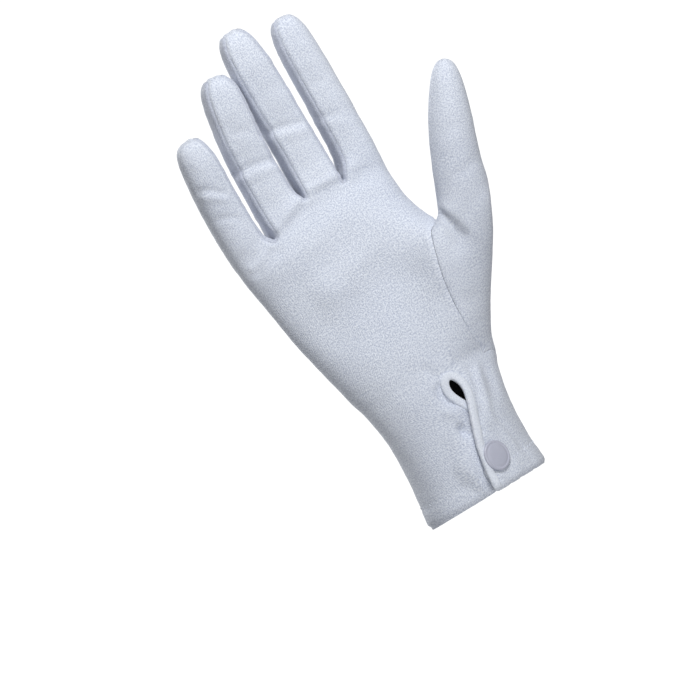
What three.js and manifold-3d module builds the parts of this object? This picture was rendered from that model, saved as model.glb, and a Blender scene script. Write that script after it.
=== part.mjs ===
// White dress glove for the right hand, filled out as if worn, with its fingers up.
// Millimetres. +Z runs along the glove to the fingertips, the palm faces -Y and the thumb is at +X.
// The origin is the centre of the cuff's mouth, where the wrist goes in.
import * as THREE from 'three';
import { mergeVertices } from 'three/addons/utils/BufferGeometryUtils.js';
import Module from 'manifold-3d';

// Driving dimensions: the hand
const KNUCKLE_HEIGHT = 160; // cuff edge to the crotch between index and middle finger
const THUMB_CROTCH_HEIGHT = 123;
const HAND_WIDTH = 87; // across the knuckles
const HAND_DEPTH = 28; // palm to back at the knuckles
const WRIST_WIDTH = 62;
const WRIST_DEPTH = 42;
const CUFF_WIDTH = 66;
const CUFF_DEPTH = 46;

// Driving dimensions: the fingers, from their crotch to their tip
const INDEX_LENGTH = 85;
const MIDDLE_LENGTH = 86;
const RING_LENGTH = 76;
const LITTLE_LENGTH = 67;
const THUMB_LENGTH = 72;
const INDEX_WIDTH = 19.4;
const MIDDLE_WIDTH = 21;
const RING_WIDTH = 20.6;
const LITTLE_WIDTH = 19;
const THUMB_WIDTH = 23;

// Driving dimensions: cloth, hem, vent and raised points
const CLOTH = 1.1;
const SEAM_GAP = 0.3;
const HEM_HEIGHT = 13;
const HEM_INSET = 0.25; // how far the hem's inner layer stands back from the cuff's edge
const VENT_LENGTH = 60;
const BINDING_WIDTH = 4;
const BINDING_THICKNESS = 1.4;
const POINT_WIDTH = 2.6;
const POINT_RELIEF = 1.5;
const OVERLAP_LIFT = 3.4; // how far the flap's face stands over the underlap's

// Driving dimensions: press stud
const SNAP_DIAMETER = 14;
const SNAP_THICKNESS = 1.6;
const SNAP_HEIGHT = 18;
const SNAP_NECK_DIAMETER = 4;
const SOCKET_DIAMETER = 8.6;
const SOCKET_THICKNESS = 1.3;
const KNOB_DIAMETER = 3.6;
const STUD_NECK_DIAMETER = 2.8;
const STUD_DIAMETER = 9.6;
const STUD_THICKNESS = 0.8;
const CLEARANCE = 0.3;

// Round parts of the press stud are turned with this many flats
const TURNED_SIDES = 16;

const COTTON = { color: 0xdfe5f2, roughness: 0.92, metalness: 0 };
const BINDING = { color: 0xe6ebf5, roughness: 0.9, metalness: 0 };
const SNAP = { color: 0xd3d6e6, roughness: 0.35, metalness: 0 };

// The girths that the cross-sections below are shares of
const GIRTHS = {
  cuff: { width: CUFF_WIDTH, depth: CUFF_DEPTH },
  wrist: { width: WRIST_WIDTH, depth: WRIST_DEPTH },
  hand: { width: HAND_WIDTH, depth: HAND_DEPTH },
};

// The stretches along the glove that the heights below are shares of
const RIM_TOP = VENT_LENGTH + BINDING_WIDTH;
const STRETCHES = {
  hem: [0, HEM_HEIGHT],
  vent: [HEM_HEIGHT, VENT_LENGTH],
  rim: [VENT_LENGTH, RIM_TOP],
  ball: [RIM_TOP, THUMB_CROTCH_HEIGHT],
  palm: [THUMB_CROTCH_HEIGHT, KNUCKLE_HEIGHT],
};

// Cross-sections from the cuff up to the knuckles.
// up: share of the stretch. left, right, palm, back: shares of the girth's width and depth.
// square: 2 is an ellipse, more is boxier. lean: degrees that the thumb half swings to the palm side.
// turn: degrees about the glove's axis. The last columns say how far round a column of the net stands,
// as a share of the half width: f1 to f4 on the palm, under for the underlap's edge, k2 on the back.
// lift: share of OVERLAP_LIFT that the flap stands out, and sink: that the underlap drops.
// bound: share of BINDING_WIDTH that the binding takes beside the slit, where it isn't all of it.
const SECTIONS = [
  { stretch: 'hem', up: 0, girth: 'cuff', left: -0.5, right: 0.5, palm: 0.5, back: 0.5, square: 2,
    lean: 0, turn: 16, f4: -0.295, f3: -0.175, f2: 0.24, f1: 0.6, k2: 0.72, under: 0.4, lift: 1, sink: 0 },
  { stretch: 'hem', up: 1, girth: 'cuff', left: -0.477, right: 0.485, palm: 0.489, back: 0.489, square: 2,
    lean: 0, turn: 16, f4: -0.285, f3: -0.165, f2: 0.24, f1: 0.6, k2: 0.74, under: 0.38, lift: 1, sink: 0 },
  { stretch: 'vent', up: 0.33, girth: 'wrist', left: -0.476, right: 0.508, palm: 0.524, back: 0.512,
    square: 2, lean: 0, turn: 14, f4: -0.18, f3: -0.06, f2: 0.31, f1: 0.65, k2: 0.78, under: 0.3,
    lift: 1, sink: 0 },
  { stretch: 'vent', up: 0.62, girth: 'wrist', left: -0.468, right: 0.532, palm: 0.524, back: 0.5,
    square: 2, lean: 0, turn: 10, f4: 0.03, f3: 0.17, f2: 0.47, f1: 0.74, k2: 0.84, under: 0.2,
    lift: 0.75, sink: 0.1 },
  { stretch: 'vent', up: 0.84, girth: 'wrist', left: -0.476, right: 0.573, palm: 0.524, back: 0.488,
    square: 2, lean: 0, turn: 7, f4: 0.17, f3: 0.31, f2: 0.7, f1: 0.86, k2: 0.9, under: -0.01,
    lift: 0.3, sink: 0.25 },
  { stretch: 'rim', up: 0, girth: 'hand', left: -0.356, right: 0.442, palm: 0.768, back: 0.714, square: 2,
    lean: 0, turn: 4, f4: 0.06, f3: 0.2, f2: 0.86, f1: 0.95, k2: 0.95, lift: 0, sink: 0, bound: 1.1 },
  { stretch: 'rim', up: 1, girth: 'hand', left: -0.366, right: 0.456, palm: 0.76, back: 0.705, square: 2,
    lean: 2, turn: 3, f4: 0.06, f3: 0.125, f2: 0.76, f1: 0.9, k2: 0.965, lift: 0, sink: 0, bound: 0.55 },
  { stretch: 'ball', up: 0.13, girth: 'hand', left: -0.394, right: 0.498, palm: 0.757, back: 0.679,
    square: 2.05, lean: 6, turn: 1, f4: 0.11, f3: 0.26, f2: 0.6, f1: 0.82, k2: 0.93, lift: 0, sink: 0 },
  { stretch: 'ball', up: 0.36, girth: 'hand', left: -0.434, right: 0.575, palm: 0.732, back: 0.632,
    square: 2.1, lean: 13.5, turn: 0, f4: 0.14, f3: 0.29, f2: 0.44, f1: 0.74, k2: 0.83, lift: 0, sink: 0 },
  { stretch: 'ball', up: 0.62, girth: 'hand', left: -0.477, right: 0.672, palm: 0.668, back: 0.571,
    square: 2.15, lean: 22, turn: 0, f4: 0.11, f3: 0.225, f2: 0.34, f1: 0.68, k2: 0.71, lift: 0, sink: 0 },
  { stretch: 'ball', up: 0.9, girth: 'hand', left: -0.509, right: 0.747, palm: 0.589, back: 0.518,
    square: 2.2, lean: 29, turn: 0, f4: 0.08, f3: 0.22, f2: 0.37, f1: 0.72, k2: 0.56, lift: 0, sink: 0 },
  { stretch: 'palm', up: 0.42, girth: 'hand', left: -0.53, right: 0.463, palm: 0.545, back: 0.493,
    square: 2.5, lean: 4, turn: 0, f4: 0.35, f3: 0.59, f2: 0.82, k2: 0.82, lift: 0, sink: 0 },
  { stretch: 'palm', up: 1, girth: 'hand', left: -0.552, right: 0.448, palm: 0.5, back: 0.446,
    square: 2.7, lean: 0, turn: 0, f4: 0.411, f3: 0.66, f2: 0.86, k2: 0.86, lift: 0, sink: 0 },
];
// The last section that the thumb shares with the palm
const CROTCH_SECTION = SECTIONS.findLastIndex((section) => section.stretch === 'ball');
const LEAN_START = 0.115; // where the thumb half starts to swing, as a share of HAND_WIDTH

// How far each column past f5 (palm) and k2 (back) stands on the way to the little finger's side
const PALM_SPREAD = [0.176, 0.39, 0.584, 0.785, 0.935];
const BACK_SPREAD = [0.1075, 0.241, 0.36, 0.475, 0.605, 0.735, 0.862, 0.958];
const CLOSED_F5 = 0.157; // the same for f5 itself above the vent
const THUMB_WEB_REACH = 0.506; // where the web between thumb and palm stands, as a share of HAND_WIDTH
const WEB_RISE = 0.006; // how far the finger webs stand over their crotch, as a share of KNUCKLE_HEIGHT

// Height of the knuckle line under each finger column, from the thumb's side, as shares of KNUCKLE_HEIGHT
const KNUCKLE_LINE = {
  w: 0.94, c2: 0.948, c3: 0.975, c4: 0.983, c5: 1.002, c6: 0.996, c7: 0.97, c8: 0.938, c9: 0.912, c10: 0.868,
  p: 0.862,
};
const LAST_ROW = 0.05; // least height of the row under that line, as a share of KNUCKLE_HEIGHT

// The cuff's edge rises a little to the palm and away from the thumb, as shares of HEM_HEIGHT
const CUFF_RISE = { palm: 0.22, far: 0.12 };

// How far each column of the flap stands out, as a share of the section's lift
const FLAP_LIFTS = { f4: 1.55, f3: 1.45, f2: 1, f1: 1, f0: 0.5 };

// Fingers. lean: degrees to the thumb's side, curl: degrees to the palm, in each third of the length.
const FINGERS = [
  { name: 'index', length: INDEX_LENGTH, width: INDEX_WIDTH, start: 0.322,
    lean: [-1, -1, -4], curl: [5, 12, 18] },
  { name: 'middle', length: MIDDLE_LENGTH, width: MIDDLE_WIDTH, start: 0.063,
    lean: [-3, -2, -5], curl: [5, 13, 20] },
  { name: 'ring', length: RING_LENGTH, width: RING_WIDTH, start: -0.188,
    lean: [-5, -2, 3], curl: [6, 15, 22] },
  { name: 'little', length: LITTLE_LENGTH, width: LITTLE_WIDTH, start: -0.432,
    lean: [-10, -2, -1], curl: [6, 15, 22] },
];

const FINGER_SQUARE = 2.5; // how boxy a finger's section is

// Sections along a finger. along: share of the length. wide, deep: shares of the finger's width.
const FINGER_SECTIONS = [
  { along: 0.17, wide: 1.03, deep: 1.02 },
  { along: 0.4, wide: 1.0, deep: 0.97 },
  { along: 0.63, wide: 0.98, deep: 0.9 },
  { along: 0.83, wide: 0.94, deep: 0.82 },
  { along: 0.955, wide: 0.77, deep: 0.6 },
  { along: 1, wide: 0.36, deep: 0.28 },
];

// The thumb, whose root is a place in shares of HAND_WIDTH and HAND_DEPTH
const THUMB_START = { x: 0.625, y: -0.79 };
const THUMB_SECTIONS = [
  { along: 0.2, wide: 1.1, deep: 1.04 },
  { along: 0.42, wide: 0.98, deep: 0.95 },
  { along: 0.65, wide: 0.88, deep: 0.85 },
  { along: 0.88, wide: 0.68, deep: 0.64 },
  { along: 1, wide: 0.3, deep: 0.28 },
];
const THUMB = {
  length: THUMB_LENGTH, width: THUMB_WIDTH, sections: THUMB_SECTIONS, square: 2,
  lean: [7, 15, 21], curl: [17, 17, 16],
};
const ROUND_FILL = 1.075; // smoothing draws an eight-sided ring in by this much

// Broad folds. from, to: across as a share of HAND_WIDTH, up as a share of KNUCKLE_HEIGHT.
// height and reach: shares of HAND_DEPTH, out of the cloth and to each side of the line.
const PALM_FOLDS = [
  { from: [-0.45, 0.93], to: [0.32, 0.985], height: -0.05, reach: 0.2 },
  { from: [-0.38, 0.87], to: [0.3, 0.9], height: 0.035, reach: 0.3 },
  { from: [0.3, 0.62], to: [0.44, 0.78], height: 0.05, reach: 0.22 },
  { from: [0.42, 0.8], to: [0.5, 0.68], height: -0.06, reach: 0.18 },
  { from: [-0.2, 0.62], to: [0.12, 0.68], height: -0.06, reach: 0.5 },
  { from: [0.02, 0.27], to: [-0.02, 0.2], height: 0.05, reach: 0.2 },
];

// Raised points on the back, from the knuckles to the wrist: the same shares
const RAISED_POINTS = [
  { from: [0.135, 0.9], bend: [0.115, 0.72], to: [0.045, 0.415] },
  { from: [-0.15, 0.9], bend: [-0.135, 0.75], to: [-0.085, 0.53] },
  { from: [-0.355, 0.84], bend: [-0.31, 0.66], to: [-0.17, 0.415] },
];

const radians = THREE.MathUtils.degToRad;
const mix = THREE.MathUtils.lerp;
const wasm = await Module();
wasm.setup();

// Height of a section above the cuff's edge
function sectionHeight(section) {
  const [low, high] = STRETCHES[section.stretch];
  return mix(low, high, section.up);
}

// A point of a section: share is 1 at the thumb's side and -1 at the other, side is -1 palm, 1 back
function sectionPoint(section, share, side, lift = 0) {
  const girth = GIRTHS[section.girth];
  const left = section.left * girth.width;
  const right = section.right * girth.width;
  const middle = (left + right) / 2;
  const half = (right - left) / 2;
  const depth = (side < 0 ? section.palm : section.back) * girth.depth;
  const bow = (1 - Math.abs(share) ** section.square) ** (1 / section.square);
  const normal = new THREE.Vector2(share / half, side * bow / depth).normalize();
  const x = middle + half * share + normal.x * lift;
  const swing = Math.tan(radians(section.lean)) * Math.max(0, x - LEAN_START * HAND_WIDTH);
  const y = side * depth * bow + normal.y * lift - swing;
  const about = new THREE.Vector2(middle, 0);
  const flat = new THREE.Vector2(x, y).rotateAround(about, radians(section.turn));
  const height = sectionHeight(section);
  const slant = CUFF_RISE.far * (1 - share) / 2 + CUFF_RISE.palm * (1 - side * bow) / 2;
  const rise = slant * Math.max(0, HEM_HEIGHT - height);
  return new THREE.Vector3(flat.x, flat.y, height + rise);
}

// A net of flat faces. piece names the cloth that a face belongs to, and layer is flap or underlap
// where the two lie over each other.
class Net {
  constructor() {
    this.points = [];
    this.faces = [];
  }

  point(place) {
    this.points.push(place.clone());
    return this.points.length - 1;
  }

  face(piece, layer, corners) {
    this.faces.push({ piece, layer, corners });
  }
}

// The columns of an open or closed ring, in order from the flap's edge round by the thumb's side
const PALM_COLUMNS = ['f4', 'f3', 'f2', 'f1', 'f0'];
const BACK_COLUMNS = ['k0', 'k1', 'k2', 'k3', 'k4', 'k5', 'k6', 'k7', 'k8', 'k9', 'k10'];
const FAR_COLUMNS = ['f10', 'f9', 'f8', 'f7', 'f6', 'f5'];

// Where each column stands in a section, as a share of the half width
function columnShares(section) {
  const half = (section.right - section.left) / 2 * GIRTHS[section.girth].width;
  const start = section.under ?? section.f4;
  const shares = { f4: section.f4, f3: section.f3, f2: section.f2, s: 1, p: -1, k2: section.k2 };
  shares.f1 = section.f1 ?? mix(section.f2, 1, 0.5);
  shares.f0 = Math.sin(mix(Math.asin(shares.f1), Math.PI / 2, 0.5));
  shares.f5 = section.under === undefined && section.stretch !== 'rim'
    ? mix(start, -1, CLOSED_F5)
    : start - (section.bound ?? 1) * BINDING_WIDTH / half;
  PALM_SPREAD.forEach((far, i) => { shares[`f${i + 6}`] = mix(shares.f5, -1, far); });
  BACK_SPREAD.forEach((far, i) => { shares[`k${i + 3}`] = mix(section.k2, -1, far); });
  const backTurn = Math.asin(section.k2);
  shares.k1 = Math.sin(mix(backTurn, Math.PI / 2, 1 / 3));
  shares.k0 = Math.sin(mix(backTurn, Math.PI / 2, 2 / 3));
  return shares;
}

// One ring of the main tube: column name to point number, with 'under' where the vent is open
function mainRing(net, section) {
  const shares = columnShares(section);
  const ring = {};
  for (const column of PALM_COLUMNS) {
    const lift = FLAP_LIFTS[column] * section.lift * OVERLAP_LIFT;
    ring[column] = net.point(sectionPoint(section, shares[column], -1, lift));
  }
  ring.s = net.point(sectionPoint(section, 1, 1));
  for (const column of BACK_COLUMNS) ring[column] = net.point(sectionPoint(section, shares[column], 1));
  ring.p = net.point(sectionPoint(section, -1, 1));
  for (const column of FAR_COLUMNS) {
    const sink = column === 'f5' ? -section.sink * OVERLAP_LIFT : 0;
    ring[column] = net.point(sectionPoint(section, shares[column], -1, sink));
  }
  ring.under = section.under === undefined
    ? ring.f4
    : net.point(sectionPoint(section, section.under, -1, -section.sink * OVERLAP_LIFT));
  return ring;
}

const MAIN_ORDER = [...PALM_COLUMNS, 's', ...BACK_COLUMNS, 'p', ...FAR_COLUMNS, 'under'];

// Joins two rings with a band of faces. tagOf gives the piece and layer between two neighbouring columns.
function joinRings(net, low, high, order, tagOf) {
  for (let i = 0; i + 1 < order.length; i += 1) {
    const [a, b] = [order[i], order[i + 1]];
    const { piece, layer } = tagOf(a, b);
    net.face(piece, layer, [low[a], low[b], high[b], high[a]]);
  }
}

const THUMB_COLUMNS = new Set(['f2', 'f1', 'f0', 's', 'k0', 'k1', 'k2']);

// The wrist and the ball of the thumb, up to the section where thumb and palm part
function buildWrist(net) {
  const rings = SECTIONS.slice(0, CROTCH_SECTION + 1).map((section) => mainRing(net, section));
  const rimSection = SECTIONS.findIndex((section) => section.stretch === 'rim');
  for (let row = 0; row + 1 < rings.length; row += 1) {
    joinRings(net, rings[row], rings[row + 1], MAIN_ORDER, (a, b) => {
      const bound = row <= rimSection && (a === 'f4' || b === 'under');
      const inThumb = row >= rimSection && THUMB_COLUMNS.has(a) && THUMB_COLUMNS.has(b);
      const cloth = inThumb ? 'thumb' : 'hand';
      const far = FAR_COLUMNS.includes(a) ? 'underlap' : null;
      const layer = PALM_COLUMNS.includes(a) ? 'flap' : far;
      return { piece: bound ? 'vent_binding' : cloth, layer: row < rimSection ? layer : null };
    });
  }
  return rings[rings.length - 1];
}

const KNUCKLE_PALM = ['f2', 'f3', 'f4', 'f5', 'f6', 'f7', 'f8', 'f9', 'f10'];
const KNUCKLE_BACK = ['k10', 'k9', 'k8', 'k7', 'k6', 'k5', 'k4', 'k3', 'k2'];
const KNUCKLE_ORDER = ['w', ...KNUCKLE_BACK.toReversed(), 'p', ...KNUCKLE_PALM.toReversed(), 'w'];

// A ring of the palm above the thumb, which has no thumb columns but one beside the web. The top ring
// follows the knuckle line, and the one under it stays below that line.
function palmRing(net, section, top) {
  const shares = columnShares(section);
  const ring = {};
  const place = (column, share, side) => {
    const point = sectionPoint(section, share, side);
    const knuckle = KNUCKLE_LINE[column.replace(/^[fk]/, 'c')];
    point.z = top ? KNUCKLE_HEIGHT * knuckle : Math.min(point.z, KNUCKLE_HEIGHT * (knuckle - LAST_ROW));
    ring[column] = net.point(point);
  };
  for (const column of KNUCKLE_PALM) place(column, shares[column], -1);
  for (const column of KNUCKLE_BACK) place(column, shares[column], 1);
  place('w', 1, 1);
  place('p', -1, 1);
  return ring;
}

// Points of a stall's ring, from its front left corner by the front, right, back and left.
// square says how boxy it is: 2 is an ellipse.
function stallRing(net, frame, halfWide, halfDeep, square) {
  const corner = 0.5 ** (1 / square);
  const spots = [
    [-corner, -corner], [0, -1], [corner, -corner], [1, 0],
    [corner, corner], [0, 1], [-corner, corner], [-1, 0],
  ];
  return spots.map(([across, deep]) => {
    const place = frame.centre.clone()
      .addScaledVector(frame.across, across * halfWide * ROUND_FILL)
      .addScaledVector(frame.deep, deep * halfDeep * ROUND_FILL);
    return net.point(place);
  });
}

// Walks along a stall that bends in each third. Gives the centre and frame at a share of its length.
function stallFrame(start, length, lean, curl, along) {
  const centre = start.clone();
  const heading = new THREE.Vector3();
  const steps = 24;
  for (let step = 0; step < steps * along; step += 1) {
    const at = Math.min(2, (step / steps) * 3);
    const low = Math.min(1, Math.floor(at));
    const tilt = radians(mix(lean[low], lean[low + 1], at - low));
    const bow = radians(mix(curl[low], curl[low + 1], at - low));
    heading.set(Math.sin(tilt), -Math.sin(bow), Math.cos(tilt) * Math.cos(bow)).normalize();
    centre.addScaledVector(heading, Math.min(1, steps * along - step) * length / steps);
  }
  const across = new THREE.Vector3(1, 0, 0).addScaledVector(heading, -heading.x).normalize();
  const deep = heading.clone().cross(across);
  return { centre, across, deep };
}

// A stall from its root ring of eight points to its closed tip. sides names the cloth of each face.
function buildStall(net, root, start, stall, sides) {
  let low = root;
  for (const section of stall.sections) {
    const frame = stallFrame(start, stall.length, stall.lean, stall.curl, section.along);
    const wide = section.wide * stall.width / 2;
    const deep = section.deep * stall.width / 2;
    const high = stallRing(net, frame, wide, deep, stall.square);
    for (let i = 0; i < high.length; i += 1) {
      const j = (i + 1) % high.length;
      net.face(sides[i], null, [low[i], low[j], high[j], high[i]]);
    }
    low = high;
  }
  net.face(sides[0], null, low);
}

const FOURCHETTES = ['fourchette_index_middle', 'fourchette_middle_ring', 'fourchette_ring_little'];

// Midpoint of two points of the net, raised
function webPoint(net, a, b, rise) {
  const middle = net.points[a].clone().add(net.points[b]).multiplyScalar(0.5);
  middle.z += rise;
  return net.point(middle);
}

// Palm above the thumb, and the four fingers
function buildFingers(net, crotchRing, web) {
  const [palmSection, knuckleSection] = SECTIONS.slice(CROTCH_SECTION + 1);
  const rings = [
    { ...crotchRing, w: web },
    palmRing(net, palmSection, false),
    palmRing(net, knuckleSection, true),
  ];
  joinRings(net, rings[0], rings[1], KNUCKLE_ORDER, () => ({ piece: 'hand' }));
  joinRings(net, rings[1], rings[2], KNUCKLE_ORDER, () => ({ piece: 'hand' }));
  const top = rings[2];
  const rise = WEB_RISE * KNUCKLE_HEIGHT;
  const webs = [4, 6, 8].map((column) => webPoint(net, top[`f${column}`], top[`k${column}`], rise));
  FINGERS.forEach((finger, i) => {
    const right = 2 + 2 * i;
    const rightSide = i === 0 ? top.w : webs[i - 1];
    const leftSide = i === 3 ? top.p : webs[i];
    const root = [
      top[`f${right + 2}`], top[`f${right + 1}`], top[`f${right}`], rightSide,
      top[`k${right}`], top[`k${right + 1}`], top[`k${right + 2}`], leftSide,
    ];
    const rightCloth = i === 0 ? 'hand' : FOURCHETTES[i - 1];
    const leftCloth = i === 3 ? 'hand' : FOURCHETTES[i];
    const sides = ['hand', 'hand', rightCloth, rightCloth, 'hand', 'hand', leftCloth, leftCloth];
    const height = root.reduce((sum, point) => sum + net.points[point].z, 0) / root.length;
    const deep = root.reduce((sum, point) => sum + net.points[point].y, 0) / root.length;
    const start = new THREE.Vector3(finger.start * HAND_WIDTH, deep, height);
    buildStall(net, root, start, { ...finger, sections: FINGER_SECTIONS, square: FINGER_SQUARE }, sides);
  });
}

// The thumb's stall, from the crotch section up
function buildThumb(net, ring, web) {
  const root = [ring.f2, ring.f1, ring.f0, ring.s, ring.k0, ring.k1, ring.k2, web];
  const start = new THREE.Vector3(
    THUMB_START.x * HAND_WIDTH, THUMB_START.y * HAND_DEPTH, net.points[ring.s].z,
  );
  buildStall(net, root, start, THUMB, root.map(() => 'thumb'));
}

function buildNet() {
  const net = new Net();
  const crotchRing = buildWrist(net);
  const palmSide = net.points[crotchRing.f2];
  const backSide = net.points[crotchRing.k2];
  const web = net.point(new THREE.Vector3(
    THUMB_WEB_REACH * HAND_WIDTH, (palmSide.y + backSide.y) / 2, THUMB_CROTCH_HEIGHT,
  ));
  buildFingers(net, crotchRing, web);
  buildThumb(net, crotchRing, web);
  return net;
}

const edgeKey = (a, b) => (a < b ? `${a},${b}` : `${b},${a}`);

// Centre of a list of points
function average(places) {
  const sum = new THREE.Vector3();
  for (const place of places) sum.add(place);
  return sum.multiplyScalar(1 / places.length);
}

// Catmull-Clark smoothing, once. Edges between a fourchette and its neighbour stay creased.
function smooth(net) {
  const edges = new Map();
  net.faces.forEach((face, number) => {
    face.corners.forEach((a, i) => {
      const b = face.corners[(i + 1) % face.corners.length];
      const key = edgeKey(a, b);
      if (!edges.has(key)) edges.set(key, { ends: [a, b], faces: [] });
      edges.get(key).faces.push(number);
    });
  });
  const out = new Net();
  const centres = net.faces.map((face) => average(face.corners.map((corner) => net.points[corner])));
  const touching = net.points.map(() => ({ faces: [], edges: [] }));
  net.faces.forEach((face, number) => face.corners.forEach((corner) => touching[corner].faces.push(number)));
  for (const edge of edges.values()) {
    const cloths = new Set(edge.faces.map((number) => net.faces[number].piece));
    const seam = cloths.size > 1 && [...cloths].some((cloth) => cloth.startsWith('fourchette'));
    edge.sharp = edge.faces.length < 2 || seam;
    const middle = average(edge.ends.map((end) => net.points[end]));
    const around = [...edge.ends.map((end) => net.points[end]), ...edge.faces.map((face) => centres[face])];
    edge.point = out.point(edge.sharp ? middle : average(around));
    edge.ends.forEach((end) => touching[end].edges.push(edge));
  }
  const corners = net.points.map((place, number) => {
    const { faces, edges: spokes } = touching[number];
    const sharp = spokes.filter((edge) => edge.sharp);
    const far = (edge) => net.points[edge.ends[0] === number ? edge.ends[1] : edge.ends[0]];
    if (sharp.length > 2) return out.point(place);
    if (sharp.length === 2) {
      const along = average(sharp.map(far));
      return out.point(place.clone().multiplyScalar(0.75).addScaledVector(along, 0.25));
    }
    const count = spokes.length;
    const rim = average(spokes.map(far));
    const inner = average(faces.map((face) => centres[face]));
    return out.point(place.clone().multiplyScalar(count - 2).add(rim).add(inner).multiplyScalar(1 / count));
  });
  const centrePoints = centres.map((centre) => out.point(centre));
  net.faces.forEach((face, number) => {
    const size = face.corners.length;
    face.corners.forEach((corner, i) => {
      const next = edges.get(edgeKey(corner, face.corners[(i + 1) % size])).point;
      const last = edges.get(edgeKey(corner, face.corners[(i + size - 1) % size])).point;
      out.face(face.piece, face.layer, [corners[corner], next, centrePoints[number], last]);
    });
  });
  return out;
}

// Unit normal of a face
function faceNormal(net, face) {
  const [a, b, c, d] = face.corners.map((corner) => net.points[corner]);
  return c.clone().sub(a).cross(d.clone().sub(b)).normalize();
}

// Normal of the cloth at each point, lengthened at corners so that a wall keeps its thickness there
function pointNormals(net) {
  const sums = net.points.map(() => []);
  for (const face of net.faces) {
    const normal = faceNormal(net, face);
    face.corners.forEach((corner) => sums[corner].push(normal));
  }
  return sums.map((normals) => {
    const mean = average(normals).normalize();
    const spread = average(normals.map((normal) => new THREE.Vector3(normal.dot(mean), 0, 0))).x;
    return mean.multiplyScalar(1 / Math.max(0.85, spread));
  });
}

// Distance from a point to a line between two points, all in the plane of the glove
function distanceToLine(x, z, from, to) {
  const line = new THREE.Line3(new THREE.Vector3(from[0], 0, from[1]), new THREE.Vector3(to[0], 0, to[1]));
  const place = new THREE.Vector3(x, 0, z);
  return line.closestPointToPoint(place, true, new THREE.Vector3()).distanceTo(place);
}

// Presses the broad folds into the palm's side
function foldPalm(net) {
  const normals = pointNormals(net);
  net.points.forEach((place, number) => {
    const facing = Math.max(0, -normals[number].y);
    let push = 0;
    for (const fold of PALM_FOLDS) {
      const ends = [fold.from, fold.to].map(([across, up]) => [across * HAND_WIDTH, up * KNUCKLE_HEIGHT]);
      const away = distanceToLine(place.x, place.z, ...ends) / (fold.reach * HAND_DEPTH);
      push += fold.height * HAND_DEPTH * Math.exp(-away * away);
    }
    place.addScaledVector(normals[number], push * facing);
  });
}

// The press stud's seat: a point of the flap's face and the way it faces
const SNAP_PLACE = 0.28; // how far the stud stands from column f3 to column f2
function snapSeat() {
  const [, low, high] = SECTIONS;
  const rise = (SNAP_HEIGHT - sectionHeight(low)) / (sectionHeight(high) - sectionHeight(low));
  const at = (column) => {
    const [from, to] = [low, high].map((section) => (
      sectionPoint(section, section[column], -1, FLAP_LIFTS[column] * section.lift * OVERLAP_LIFT)));
    return from.lerp(to, rise);
  };
  const [left, right] = [at('f3'), at('f2')];
  const along = right.clone().sub(left);
  const facing = new THREE.Vector3(along.y, -along.x, 0).normalize();
  return { centre: left.lerp(right, SNAP_PLACE), facing };
}

const SEAT = snapSeat();
// The underlap's face lies this far behind the flap's under the press stud
const SNAP_STACK = BINDING_THICKNESS + CLEARANCE + SOCKET_THICKNESS + CLEARANCE;
const SEAT_RADIUS = SNAP_DIAMETER * 0.75;
const SEAT_FADE = SNAP_DIAMETER * 0.45;

// Flattens the flap and the underlap where the press stud holds them
function seatSnap(net) {
  for (const [layer, level] of [['flap', 0], ['underlap', -SNAP_STACK]]) {
    const faces = net.faces.filter((face) => face.layer === layer);
    const numbers = new Set(faces.flatMap((face) => face.corners));
    for (const number of numbers) {
      const place = net.points[number];
      const from = place.clone().sub(SEAT.centre);
      const height = from.dot(SEAT.facing);
      const away = from.addScaledVector(SEAT.facing, -height).length();
      const hold = 1 - THREE.MathUtils.smoothstep(away, SEAT_RADIUS, SEAT_RADIUS + SEAT_FADE);
      place.addScaledVector(SEAT.facing, (level - height) * hold);
    }
  }
}

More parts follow.
